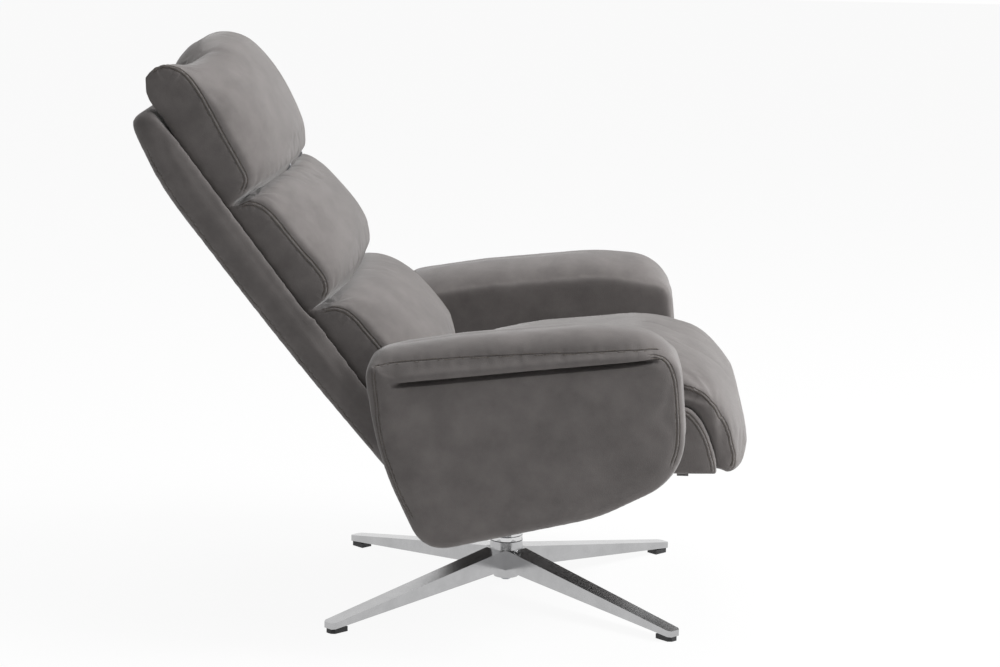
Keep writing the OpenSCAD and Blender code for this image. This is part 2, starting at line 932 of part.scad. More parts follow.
// Back shell: a padded tray, deeper behind the two lower cushions than behind the headrest
shell_round = 40;
shell_edge_r = 20;
shell_h = shell_l - shell_foot_s;
shell_side_shares = [
    [0.344, 0, 0.022],
    [1, 0, 0.004],
    [1, 0.9986, 0.004],
    [0.078, 0.9986, 0.049],
    [0, 0.671, 4.11]
];
tray_clear = 3;
tray_top_s = frame_top_s + frame_r + tray_clear;
tray_d = 2 * frame_r + strap_t + 3 * seat_gap;
head_bracket_clear = 0.4;
head_tray_d = shell_front_t - frame_t + head_bracket_clear;

module shell_block(side_t, foot, top) {
    translate([shell_rear_t + side_t, -shell_half_w + shell_wall, foot])
        cube([2 * shell_d, 2 * (shell_half_w - shell_wall), top - foot]);
}

module back_shell() {
    color(cloth_dark)
        on_back()
            difference() {
                intersection() {
                    upright(-shell_half_w, 2 * shell_half_w)
                        polygon(outline(placed(shell_side_shares, [shell_rear_t, shell_foot_s], [shell_d, shell_h]), 8));
                    rotate([90, 0, 90])
                        translate([0, 0, -shell_d * 3])
                            linear_extrude(shell_d * 3)
                                polygon(outline([
                                    [-shell_half_w, shell_foot_s, shell_round],
                                    [shell_half_w, shell_foot_s, shell_round],
                                    [shell_half_w, shell_l, shell_round],
                                    [-shell_half_w, shell_l, shell_round]
                                ], 8));
                    translate([0, 0, 2 * shell_foot_s])
                        linear_extrude(shell_l - 3 * shell_foot_s)
                            polygon(outline([
                                [shell_rear_t - cut, -shell_half_w, shell_edge_r],
                                [shell_front_t + cut, -shell_half_w, cut / 2],
                                [shell_front_t + cut, shell_half_w, cut / 2],
                                [shell_rear_t - cut, shell_half_w, shell_edge_r]
                            ], 6));
                }
                shell_block(shell_d - tray_d, shell_foot_s + 2 * shell_wall, tray_top_s);
                shell_block(shell_d - head_tray_d, tray_top_s - cut, shell_l - 2 * shell_wall);
            }
}

// Lower cushion of the back
back_cushion_d = 150;
lumbar_size = [back_cushion_d, mid_s - lumbar_s];
lumbar_middle_shares = [
    [0, 0, 0.036],
    [0.94, 0, 0.222],
    [0.987, 0.529, 1.333],
    [0.853, 0.851, 0.311],
    [0.6, 0.991, 0.036],
    [0, 0.991, 0.036]
];
lumbar_side_shares = [
    [0, 0, 0.022],
    [0.407, 0, 0.107],
    [0.393, 0.484, 1.333],
    [0.367, 0.884, 0.089],
    [0.207, 0.982, 0.036],
    [0, 0.982, 0.022]
];

module back_cushion(middle_shares, side_shares, foot, size) {
    from = [shell_front_t, foot];
    cushion(placed(middle_shares, from, size), placed(side_shares, from, size), back_half_w, 6, 14, cushion_draw);
}

module lumbar_cushion() {
    color(cloth)
        on_back()
            back_cushion(lumbar_middle_shares, lumbar_side_shares, lumbar_s, lumbar_size);
}

// Middle cushion of the back
mid_size = [back_cushion_d, head_s - mid_s];
mid_middle_shares = [
    [0, 0, 0.039],
    [0.66, 0, 0.039],
    [0.88, 0.187, 0.345],
    [0.88, 0.833, 0.345],
    [0.64, 0.98, 0.039],
    [0, 0.98, 0.039]
];
mid_side_shares = [
    [0, 0, 0.025],
    [0.207, 0, 0.039],
    [0.347, 0.074, 0.099],
    [0.32, 0.911, 0.118],
    [0.18, 0.99, 0.039],
    [0, 0.99, 0.025]
];

module middle_cushion() {
    color(cloth)
        on_back()
            difference() {
                back_cushion(mid_middle_shares, mid_side_shares, mid_s, mid_size);
                both_sides()
                    head_slot(head_plate_y - touch_gap, 2 * head_plate_t + 3 * touch_gap);
            }
}

// Room in the cushions for the plates of the headrest's hinge
module head_slot(y, t) {
    upright(y, t) {
        translate([shell_front_t - cut, head_pivot_s - head_eye_r - touch_gap])
            square([head_pivot_t - shell_front_t + cut, 2 * (head_eye_r + touch_gap)]);
        translate([head_pivot_t, head_pivot_s])
            circle(r = head_eye_r + touch_gap);
    }
}

// Brackets that reach forward from the back frame's top bar to the headrest's hinge
module headrest_brackets() {
    color(steel)
        on_back()
            both_sides()
                upright(head_plate_y, head_plate_t)
                    difference() {
                        union() {
                            polygon([
                                [frame_t, frame_top_s + 0.97 * frame_r],
                                [shell_front_t - head_bracket_clear, frame_top_s + 0.2 * frame_r],
                                [shell_front_t, head_pivot_s - head_eye_r],
                                [head_pivot_t, head_pivot_s - head_eye_r],
                                [head_pivot_t, head_pivot_s + head_eye_r],
                                [shell_front_t, head_pivot_s + head_eye_r],
                                [frame_t, head_pivot_s]
                            ]);
                            translate([head_pivot_t, head_pivot_s])
                                circle(r = head_eye_r);
                        }
                        translate([frame_t, frame_top_s])
                            circle(r = frame_r);
                        translate([head_pivot_t, head_pivot_s])
                            circle(r = head_pin_r + run_fit);
                    }
}

// Headrest board, let into the shell's tray
head_board_inset = 30;
head_board_s = head_s + 0.9 * head_board_inset;
head_board_top_s = shell_l - 2 * shell_wall - 0.3 * head_board_inset;
head_board_half_w = back_half_w - head_board_inset;

module headrest_board() {
    color(ply)
        on_back()
            translate([shell_front_t - head_board_t - seat_gap, -head_board_half_w, head_board_s])
                cube([head_board_t, 2 * head_board_half_w, head_board_top_s - head_board_s]);
}

// Headrest cushion: a full round front, and ends that stand a little higher than its middle
head_size = [back_cushion_d, head_top_s - head_s];
head_middle_shares = [
    [0, 0, 0.04],
    [0.64, 0, 0.04],
    [0.993, 0.202, 0.324],
    [1.08, 0.98, 0.21],
    [0, 0.98, 0.13]
];
head_side_shares = [
    [0, 0.024, 0.024],
    [0.22, 0.016, 0.032],
    [0.367, 0.105, 0.081],
    [0.447, 1, 0.073],
    [0, 1, 0.146]
];

module headrest_cushion() {
    color(cloth)
        on_back()
            difference() {
                back_cushion(head_middle_shares, head_side_shares, head_s, head_size);
                both_sides() {
                    head_slot(head_plate_y - touch_gap, 2 * head_plate_t + 3 * touch_gap);
                    upright(head_plate_y + head_plate_t, head_plate_t + 2 * touch_gap)
                        head_hinge_outline(touch_gap);
                }
            }
}

head_hinge_h = 62;

module head_hinge_outline(gap) {
    top = head_pivot_s + head_hinge_h + gap;
    polygon(outline([
        [shell_front_t - head_board_t, head_pivot_s + 1.7 * head_eye_r, head_eye_r / 3],
        [head_pivot_t - head_eye_r - gap, head_pivot_s - head_eye_r - gap, head_eye_r / 3],
        [head_pivot_t + head_eye_r + gap, head_pivot_s - head_eye_r - gap, 0.9 * head_eye_r],
        [head_pivot_t + head_eye_r + gap, head_pivot_s + head_eye_r + gap, 0.9 * head_eye_r],
        [shell_front_t + 3 * head_eye_r, top, 2 * head_eye_r],
        [shell_front_t - head_board_t, top, head_eye_r / 3]
    ], 4));
}

// Hinge plates of the headrest, beside the brackets
module headrest_hinges() {
    color(steel)
        on_back()
            both_sides()
                upright(head_plate_y + head_plate_t + touch_gap / 2, head_plate_t)
                    difference() {
                        intersection() {
                            head_hinge_outline(0);
                            translate([shell_front_t, shell_foot_s])
                                square([2 * shell_d, 2 * shell_l]);
                        }
                        translate([head_pivot_t, head_pivot_s])
                            circle(r = head_pin_r);
                    }
}

// Pins of the headrest's hinge
module headrest_pins() {
    color(steel)
        on_back()
            both_sides()
                translate([head_pivot_t, head_plate_y + head_plate_t + touch_gap / 4, head_pivot_s])
                    cross_bar(head_pin_r, 2 * head_plate_t);
}

// Bracket of the gas spring, on the front rail of the seat box
spring_foot_x = front_rail_x - front_rail_t - seat_gap;

module spring_bracket() {
    color(steel) {
        for (side = [-1, 1])
            upright(side * (rod_end_w / 2 + seat_gap + lever_t / 2) - lever_t / 2, lever_t)
                polygon(outline([
                    [spring_front_x - 3 * spring_pin_r, spring_z - 2.4 * spring_pin_r, 1.5 * spring_pin_r],
                    [spring_foot_x, spring_z - 3 * spring_pin_r, spring_pin_r / 4],
                    [spring_foot_x, spring_z + 8 * spring_pin_r, spring_pin_r / 4],
                    [spring_foot_x - 2 * spring_pin_r, spring_z + 8 * spring_pin_r, spring_pin_r],
                    [spring_front_x + 8 * spring_pin_r, spring_z + 2.6 * spring_pin_r, 3 * spring_pin_r],
                    [spring_front_x - 3 * spring_pin_r, spring_z + 2.4 * spring_pin_r, 1.5 * spring_pin_r]
                ], 4));
        translate([spring_front_x, 0, spring_z])
            cross_bar(spring_pin_r, 2 * (rod_end_w / 2 + seat_gap + lever_t));
    }
}

// Gas spring: its cylinder hangs on the bracket
module spring_cylinder() {
    color(black)
        translate([spring_front_x, 0, spring_z])
            difference() {
                union() {
                    cross_bar(2 * spring_pin_r, rod_end_w);
                    translate([-spring_eye_l, -rod_end_w / 2, -spring_pin_r])
                        cube([spring_eye_l - spring_pin_r / 2, rod_end_w, 2 * spring_pin_r]);
                    translate([-spring_body_l, 0, 0])
                        rotate([0, 90, 0])
                            cylinder(r = spring_body_r, h = spring_body_l - spring_eye_l);
                }
                cross_bar(spring_pin_r + run_fit, 2 * rod_end_w);
                translate([-spring_body_l - cut, 0, 0])
                    rotate([0, 90, 0])
                        cylinder(r = spring_rod_r + run_fit, h = spring_bore_l + cut);
            }
}

// Rod of the gas spring, whose eye has play for the arc of the lever's pin
module spring_rod() {
    rod_l = spring_front_x - hinge_x - spring_body_l + spring_overlap_l;
    color(polished)
        translate([hinge_x, 0, spring_z])
            difference() {
                union() {
                    upright(-rod_end_w / 2, rod_end_w)
                        hull()
                            for (z = [-slot_play, slot_play])
                                translate([0, z])
                                    circle(r = 2.2 * lever_pin_r);
                    rotate([0, 90, 0])
                        cylinder(r = spring_rod_r, h = rod_l);
                }
                upright(-rod_end_w, 2 * rod_end_w)
                    union() {
                        for (z = [-slot_play, slot_play])
                            translate([0, z])
                                circle(r = lever_pin_r + 2 * seat_gap);
                        translate([-lever_pin_r - 2 * seat_gap, -slot_play])
                            square([2 * (lever_pin_r + 2 * seat_gap), 2 * slot_play]);
                    }
            }
}

// Knee brackets: plates from the front rail to the leg rest's hinge
module knee_brackets() {
    color(steel)
        both_sides()
            upright(knee_plate_y, knee_plate_t)
                difference() {
                    union() {
                        polygon([
                            [front_rail_x, knee_z - 9.7 * knee_eye_r],
                            [front_rail_x + 1.5 * knee_eye_r, knee_z - 8.8 * knee_eye_r],
                            [knee_x + 0.9 * knee_eye_r, knee_z],
                            [knee_x - 0.9 * knee_eye_r, knee_z],
                            [knee_x - knee_eye_r, seat_base_z - soft_gap],
                            [front_rail_x, knee_z - front_rail_drop]
                        ]);
                        translate([knee_x, knee_z])
                            circle(r = knee_eye_r);
                    }
                    translate([knee_x, knee_z])
                        circle(r = knee_rod_r + run_fit);
                }
}

// Knee rod, carried by the arms of the leg rest
module knee_rod() {
    color(polished)
        translate([knee_x, 0, knee_z])
            cross_bar(knee_rod_r, 2 * (knee_plate_y + 2 * knee_plate_t + seat_gap));
}

// Knee fold: the foam and cover that bend over the hinge, from the seat cushion to the flap
fold_low = -20;
fold_high = 131;
fold_reach = 54;
fold_side_reach = 36;
fold_end = [knee_x + fold_reach * cos(fold_low), knee_z + fold_reach * sin(fold_low)];
fold_end_side = [knee_x + fold_side_reach * cos(fold_low), knee_z + fold_side_reach * sin(fold_low)];

function fold_outer(share) =
    let (
        low_share = seat_side_shares[2][1],
        high_share = seat_middle_shares[2][1],
        a = [seat_front_x + touch_gap, seat_foot_z + seat_h * (low_share + (high_share - low_share) * share)],
        b = [knee_x + (0.4 + 1.33 * share) * knee_clear_r, knee_z + (0.13 + 2.73 * share) * knee_clear_r],
        c = fold_end_side + (fold_end - fold_end_side) * share
    )
    [for (i = [0 : 8]) let (k = i / 8) (1 - k) * (1 - k) * c + 2 * k * (1 - k) * b + k * k * a];

function fold_inner() =
    [for (i = [0 : 8])
        let (angle = fold_high + (fold_low - fold_high) * i / 8)
        [knee_x, knee_z] + knee_clear_r * [cos(angle), sin(angle)]];

module knee_fold() {
    half = seat_half_w - soft_gap;
    color(cloth)
        difference() {
            loft_band([for (u = across(12)) [fold_outer(crown(u)), fold_inner(), u * half]]);
            both_sides()
                translate([seat_front_x - knee_clear_r, knee_plate_y - 3 * seat_gap, knee_z - 4 * knee_clear_r])
                    cube([
                        2.7 * knee_clear_r,
                        2 * knee_plate_t + 7 * seat_gap,
                        4 * knee_clear_r + knee_eye_r + touch_gap
                    ]);
        }
}

// A solid through rings that each have an outer and an inner chain of equally many points
module loft_band(bands) {
    n = len(bands[0][0]);
    m = len(bands);
    ring_n = 2 * n;
    polyhedron(
        points = [for (b = bands) each ring_at(concat(b[0], b[1]), b[2])],
        faces = concat(
            [for (i = [0 : m - 2], j = [0 : ring_n - 1])
                [i * ring_n + j, i * ring_n + (j + 1) % ring_n, (i + 1) * ring_n + (j + 1) % ring_n]],
            [for (i = [0 : m - 2], j = [0 : ring_n - 1])
                [i * ring_n + j, (i + 1) * ring_n + (j + 1) % ring_n, (i + 1) * ring_n + j]],
            [for (j = [0 : n - 2]) each [[j + 1, j, ring_n - 1 - j], [j + 1, ring_n - 1 - j, ring_n - 2 - j]]],
            [for (j = [0 : n - 2]) let (e = (m - 1) * ring_n)
                each [[e + j, e + j + 1, e + ring_n - 1 - j], [e + j + 1, e + ring_n - 2 - j, e + ring_n - 1 - j]]]
        )
    );
}

// Flap pad: the padded front of the leg rest, from the knee fold to its lower end
flap_d = 70;
flap_h = knee_z - flap_z;
flap_side_shares = [[0.63, 0.516], [0.657, 0.226], [0.571, 0.048], [0.343, 0]];
flap_middle_shares = [[0.97, 0.516], [1, 0.226], [0.886, 0.048], [0.514, 0]];
flap_inner_shares = [[0.043, 0.726], [0.129, 0.452], [0.221, 0.234], [0.264, 0]];
flap_inner_corners = concat(
    [[knee_x + 0.97 * knee_clear_r, knee_z - 0.42 * knee_clear_r]],
    [for (c = flap_inner_shares) [knee_x + c[0] * flap_d, flap_z + c[1] * flap_h]]
);

// A curve from one place to another, drawn towards a third
function bend(from, toward, to, first, last) =
    [for (i = [first : last]) let (k = i / last) (1 - k) * (1 - k) * from + 2 * k * (1 - k) * toward + k * k * to];

function flap_outer(share) =
    let (
        q = [for (i = [0 : 3])
            let (c = flap_side_shares[i] + (flap_middle_shares[i] - flap_side_shares[i]) * share)
            [knee_x + c[0] * flap_d, flap_z + c[1] * flap_h]],
        top = fold_end_side + (fold_end - fold_end_side) * share + [0.2, -0.55] * touch_gap
    )
    concat(bend(q[3], q[2], q[1], 0, 4), bend(q[1], q[0], top, 1, 5));

// Place of the pad's inner face at a height
function flap_inner_x(z) = lookup(z, [for (c = flap_inner_corners) [c[1], c[0]]]);

module flap_pad() {
    half = seat_half_w - soft_gap;
    inner = [for (i = [0 : 9])
        let (p = i * 4 / 9, k = min(3, floor(p)))
        flap_inner_corners[k] + (flap_inner_corners[k + 1] - flap_inner_corners[k]) * (p - k)];
    color(cloth)
        difference() {
            loft_band([for (u = across(12)) [flap_outer(crown(u)), inner, u * half]]);
            both_sides()
                translate([knee_x - knee_clear_r, knee_plate_y - 3 * seat_gap, flap_slot_z])
                    cube([2.4 * knee_clear_r, 2 * knee_plate_t + 7 * seat_gap, flap_h]);
        }
}

// Board behind the flap's pad, on its inner face
flap_slot_z = knee_z - 3 * knee_clear_r;
flap_board_z = flap_z + 0.05 * flap_h;
flap_board_top_z = flap_z + 0.42 * flap_h;
flap_board_half_w = box_inner - 2 * box_side_t;

module flap_board() {
    heights = [flap_board_z, flap_inner_corners[3][1], flap_board_top_z];
    color(ply)
        upright(-flap_board_half_w, 2 * flap_board_half_w)
            polygon(concat(
                [for (z = heights) [flap_inner_x(z) - touch_gap, z]],
                [for (i = [2 : -1 : 0]) [flap_inner_x(heights[i]) - touch_gap - flap_board_t, heights[i]]]
            ));
}

// Arms that hang the flap on the knee rod, beside the brackets
module flap_arms() {
    behind = flap_board_t + 1.5 * touch_gap;
    bend_z = flap_inner_corners[3][1];
    color(steel)
        both_sides()
            upright(knee_plate_y + knee_plate_t + seat_gap, knee_plate_t)
                difference() {
                    union() {
                        polygon([
                            [flap_inner_x(flap_board_z) - behind - 0.7 * knee_eye_r, flap_board_z],
                            [flap_inner_x(flap_board_z) - behind, flap_board_z],
                            [flap_inner_x(bend_z) - behind, bend_z],
                            [flap_inner_x(flap_board_top_z) - behind, flap_board_top_z],
                            [flap_inner_x(flap_slot_z) - seat_gap, flap_slot_z],
                            [knee_x + 0.9 * knee_eye_r, knee_z],
                            [knee_x - 0.9 * knee_eye_r, knee_z],
                            [flap_inner_x(flap_board_top_z) - behind - knee_eye_r, flap_board_top_z]
                        ]);
                        translate([knee_x, knee_z])
                            circle(r = knee_eye_r);
                    }
                    translate([knee_x, knee_z])
                        circle(r = knee_rod_r);
                }
}

star_base();
glides();
pivot_post();
post_bolt();
thrust_washer();
post_clip();
column_tube();
column_bushes();
swivel_plate();
plate_bolts();
seat_rails();
box_side_left();
box_side_right();
box_front_rail();
seat_straps();
seat_cushion();
bight_foam();
underside_cover();
arm_pad_left();
arm_pad_right();
arm_board_left();
arm_board_right();
arm_panel_left();
arm_panel_right();
arm_sleeves();
arm_bolts();
recline_brackets();
recline_shaft();
recline_plates();
back_frame();
back_straps();
back_shell();
lumbar_cushion();
middle_cushion();
headrest_brackets();
headrest_board();
headrest_cushion();
headrest_hinges();
headrest_pins();
spring_bracket();
spring_cylinder();
spring_rod();
knee_brackets();
knee_fold();
knee_rod();
flap_arms();
flap_board();
flap_pad();
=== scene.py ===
"""Looks of a star base swivel recliner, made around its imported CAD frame.

Sizes in the classes are millimetres.
"""

import json
import logging
import math
from collections.abc import Callable
from dataclasses import dataclass
from enum import Enum

import bmesh
import bpy
import numpy as np
from mathutils import Matrix, Vector
from mathutils.bvhtree import BVHTree
from mathutils.kdtree import KDTree

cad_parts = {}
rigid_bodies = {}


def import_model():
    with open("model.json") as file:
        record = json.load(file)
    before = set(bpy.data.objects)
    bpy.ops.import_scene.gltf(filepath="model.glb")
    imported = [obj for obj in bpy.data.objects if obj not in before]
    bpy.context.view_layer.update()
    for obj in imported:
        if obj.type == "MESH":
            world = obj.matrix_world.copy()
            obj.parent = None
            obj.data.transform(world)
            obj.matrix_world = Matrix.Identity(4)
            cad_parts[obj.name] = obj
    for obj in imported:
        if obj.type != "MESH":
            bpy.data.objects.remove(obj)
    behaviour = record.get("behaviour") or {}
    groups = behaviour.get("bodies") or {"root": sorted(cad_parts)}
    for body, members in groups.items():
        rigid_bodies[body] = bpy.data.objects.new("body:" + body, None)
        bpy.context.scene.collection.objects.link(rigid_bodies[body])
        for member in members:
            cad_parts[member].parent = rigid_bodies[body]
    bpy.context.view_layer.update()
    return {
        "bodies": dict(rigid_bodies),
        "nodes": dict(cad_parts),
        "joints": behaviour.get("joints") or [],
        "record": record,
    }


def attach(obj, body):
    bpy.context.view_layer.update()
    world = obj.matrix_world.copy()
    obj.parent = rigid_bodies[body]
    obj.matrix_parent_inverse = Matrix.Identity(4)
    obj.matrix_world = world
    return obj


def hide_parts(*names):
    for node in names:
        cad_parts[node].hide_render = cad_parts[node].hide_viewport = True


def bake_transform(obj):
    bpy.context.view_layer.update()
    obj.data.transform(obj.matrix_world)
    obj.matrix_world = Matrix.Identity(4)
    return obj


LOG = logging.getLogger("recliner")
MM = 0.001
EVEN = (1.0, 1.0, 1.0)
PER = 6
SEAM_PER = 8
ARC_STEPS = 9
SLOPE_FROM = 0.35
SLOPE_W = 0.6
FRAMES = 20
CLOTH = {
    "quality": 4,
    "mass": 0.3,
    "tension_stiffness": 12,
    "compression_stiffness": 12,
    "shear_stiffness": 6,
    "bending_stiffness": 0.6,
    "use_pressure": True,
}
Points = tuple[tuple[float, ...], ...]
Triple = tuple[float, float, float]
Hold = Callable[[np.ndarray], np.ndarray]
Piece = bpy.types.Object
Material = bpy.types.Material
Socket = bpy.types.NodeSocket


class Side(Enum):
    """Side of the chair, as the sign of Y."""

    LEFT = 1
    RIGHT = -1


def ramp(reach: np.ndarray, width: float) -> np.ndarray:
    """Gives a rise from 0 to 1 over a width."""
    return np.clip(reach / width, 0, 1)


def bell(reach: np.ndarray, width: float) -> np.ndarray:
    """Gives a bell curve that is 1 at no reach and fades over a width."""
    return np.exp(-((reach / width) ** 2))


class Puff(Enum):
    """How hard a padded piece is blown up.

    Each is the pressure, the furthest move in millimetres, and the share of a move inwards that is kept.
    """

    SOFT = (4.0, 9.0, 0.45)
    FIRM = (2.5, 2.2, 0.0)


@dataclass(frozen=True)
class ClothFinish:
    """Napped cloth: colour and the strength of its shading detail."""

    name: str
    colour: Triple
    mottle: float = 0.16
    grain: float = 0.10
    nap_height: float = 0.00035
    roughness: float = 0.86
    sheen: float = 0.35


@dataclass(frozen=True)
class MetalFinish:
    """Metal: colour, roughness and how much of its wear and brushing shows."""

    name: str
    colour: Triple
    roughness: float
    variation: float = 0.08
    metallic: float = 1.0
    bump: float = 0.00004


@dataclass(frozen=True)
class GrainFinish:
    """A plain material with a grain: moulded plastic, rubber or plywood."""

    name: str
    dark: Triple
    light: Triple
    roughness: float
    stretch: Triple = EVEN
    scale: float = 400.0
    bump: float = 0.0001


class Nodes:
    """Short ways to set and join shader nodes."""

    @staticmethod
    def fill(node: bpy.types.Node, values: dict) -> None:
        """Sets a node's input sockets by name."""
        for name, value in values.items():
            node.inputs[name].default_value = value

    @staticmethod
    def wire(tree: bpy.types.NodeTree, *pairs: tuple[Socket, Socket]) -> None:
        """Links each pair of sockets, an output to an input."""
        for source, sink in pairs:
            tree.links.new(source, sink)


class Shading:
    """Builds the shared node groups once and a material for each finish."""

    def __init__(self) -> None:
        """Makes the group that all finishes share."""
        self.speckle = self._speckle_group()

    def _speckle_group(self) -> bpy.types.NodeTree:
        """Makes the group that varies a colour at two scales and puts out a height.

        Returns:
            The node group, with the inputs Vector, Dark, Light, Large, Fine and Amount.
        """
        tree = bpy.data.node_groups.new("speckle", "ShaderNodeTree")
        for name, kind, value in (
            ("Vector", "Vector", None),
            ("Dark", "Color", (0.1, 0.1, 0.1, 1)),
            ("Light", "Color", (0.2, 0.2, 0.2, 1)),
            ("Large", "Float", 6.0),
            ("Fine", "Float", 500.0),
            ("Amount", "Float", 0.3),
        ):
            socket = tree.interface.new_socket(name, in_out="INPUT", socket_type=f"NodeSocket{kind}")
            if value is not None:
                socket.default_value = value
        for name, kind in (("Color", "Color"), ("Height", "Float")):
            tree.interface.new_socket(name, in_out="OUTPUT", socket_type=f"NodeSocket{kind}")
        given = tree.nodes.new("NodeGroupInput").outputs
        out = tree.nodes.new("NodeGroupOutput").inputs
        large = tree.nodes.new("ShaderNodeTexNoise")
        fine = tree.nodes.new("ShaderNodeTexNoise")
        blend = tree.nodes.new("ShaderNodeMix")
        blend.data_type = "FLOAT"
        spread = tree.nodes.new("ShaderNodeMapRange")
        mix = tree.nodes.new("ShaderNodeMix")
        mix.data_type = "RGBA"
        Nodes.fill(large, {"Detail": 6.0, "Roughness": 0.62})
        Nodes.fill(fine, {"Detail": 3.0})
        Nodes.fill(spread, {"From Min": 0.32, "From Max": 0.68})
        Nodes.wire(
            tree,
            (given["Vector"], large.inputs["Vector"]),
            (given["Vector"], fine.inputs["Vector"]),
            (given["Large"], large.inputs["Scale"]),
            (given["Fine"], fine.inputs["Scale"]),
            (given["Amount"], blend.inputs[0]),
            (large.outputs["Fac"], blend.inputs[2]),
            (fine.outputs["Fac"], blend.inputs[3]),
            (blend.outputs[0], spread.inputs["Value"]),
            (spread.outputs["Result"], mix.inputs[0]),
            (given["Dark"], mix.inputs[6]),
            (given["Light"], mix.inputs[7]),
            (mix.outputs[2], out["Color"]),
            (fine.outputs["Fac"], out["Height"]),
        )
        return tree

    def _make(
        self, name: str, tones: tuple, grain: Triple, height: float, sockets: dict, stretch: Triple = EVEN
    ) -> Material:
        """Makes a material whose colour and height come from the speckle group on Object coordinates.

        Args:
            name: The material's name.
            tones: Its dark and its light colour.
            grain: Scale of the large pattern, scale of the fine one, and the fine one's share.
            height: How far the fine pattern raises the surface, in metres.
            sockets: Values of the shader's own sockets.
            stretch: Scale of the coordinates along X, Y and Z.
        Returns:
            The material.
        """
        material = bpy.data.materials.new(name)
        material.use_nodes = True
        tree = material.node_tree
        shader = tree.nodes["Principled BSDF"]
        place = tree.nodes.new("ShaderNodeTexCoord")
        mapping = tree.nodes.new("ShaderNodeMapping")
        group = tree.nodes.new("ShaderNodeGroup")
        group.node_tree = self.speckle
        bump = tree.nodes.new("ShaderNodeBump")
        Nodes.fill(mapping, {"Scale": stretch})
        Nodes.fill(group, dict(zip(("Dark", "Light", "Large", "Fine", "Amount"), (*tones, *grain))))
        Nodes.fill(bump, {"Strength": 1.0, "Distance": height})
        Nodes.fill(shader, sockets)
        Nodes.wire(
            tree,
            (place.outputs["Object"], mapping.inputs["Vector"]),
            (mapping.outputs["Vector"], group.inputs["Vector"]),
            (group.outputs["Color"], shader.inputs["Base Color"]),
            (group.outputs["Height"], bump.inputs["Height"]),
            (bump.outputs["Normal"], shader.inputs["Normal"]),
        )
        return material

    @staticmethod
    def _tones(colour: Triple, share: float) -> tuple:
        """Gives a colour made darker and made lighter by a share."""
        return tuple((*(min(1.0, c * (1 + sign * share)) for c in colour), 1.0) for sign in (-1, 1))

    def cloth(self, finish: ClothFinish) -> Material:
        """Makes a napped cloth: large soft mottling, a fine nap and a sheen.

        Args:
            finish: The cloth's colour and detail.
        Returns:
            The material.
        """
        tones = self._tones(finish.colour, finish.mottle)
        sockets = {
            "Roughness": finish.roughness,
            "Sheen Weight": finish.sheen,
            "Sheen Roughness": 0.45,
            "Specular IOR Level": 0.25,
        }
        return self._make(finish.name, tones, (20.0, 900.0, finish.grain), finish.nap_height, sockets)

    def metal(self, finish: MetalFinish) -> Material:
        """Makes a metal with faint brushing and small changes of colour.

        Args:
            finish: The metal's colour and roughness.
        Returns:
            The material.
        """
        tones = self._tones(finish.colour, finish.variation)
        sockets = {"Metallic": finish.metallic, "Roughness": finish.roughness}
        return self._make(finish.name, tones, (30.0, 1600.0, 0.25), finish.bump, sockets)

    def grained(self, finish: GrainFinish) -> Material:
        """Makes a plain grained material.

        Args:
            finish: Its two colours, roughness and the stretch of its grain.
        Returns:
            The material.
        """
        tones = ((*finish.dark, 1.0), (*finish.light, 1.0))
        grain = (finish.scale / 20, finish.scale, 0.4)
        return self._make(
            finish.name, tones, grain, finish.bump, {"Roughness": finish.roughness}, finish.stretch
        )


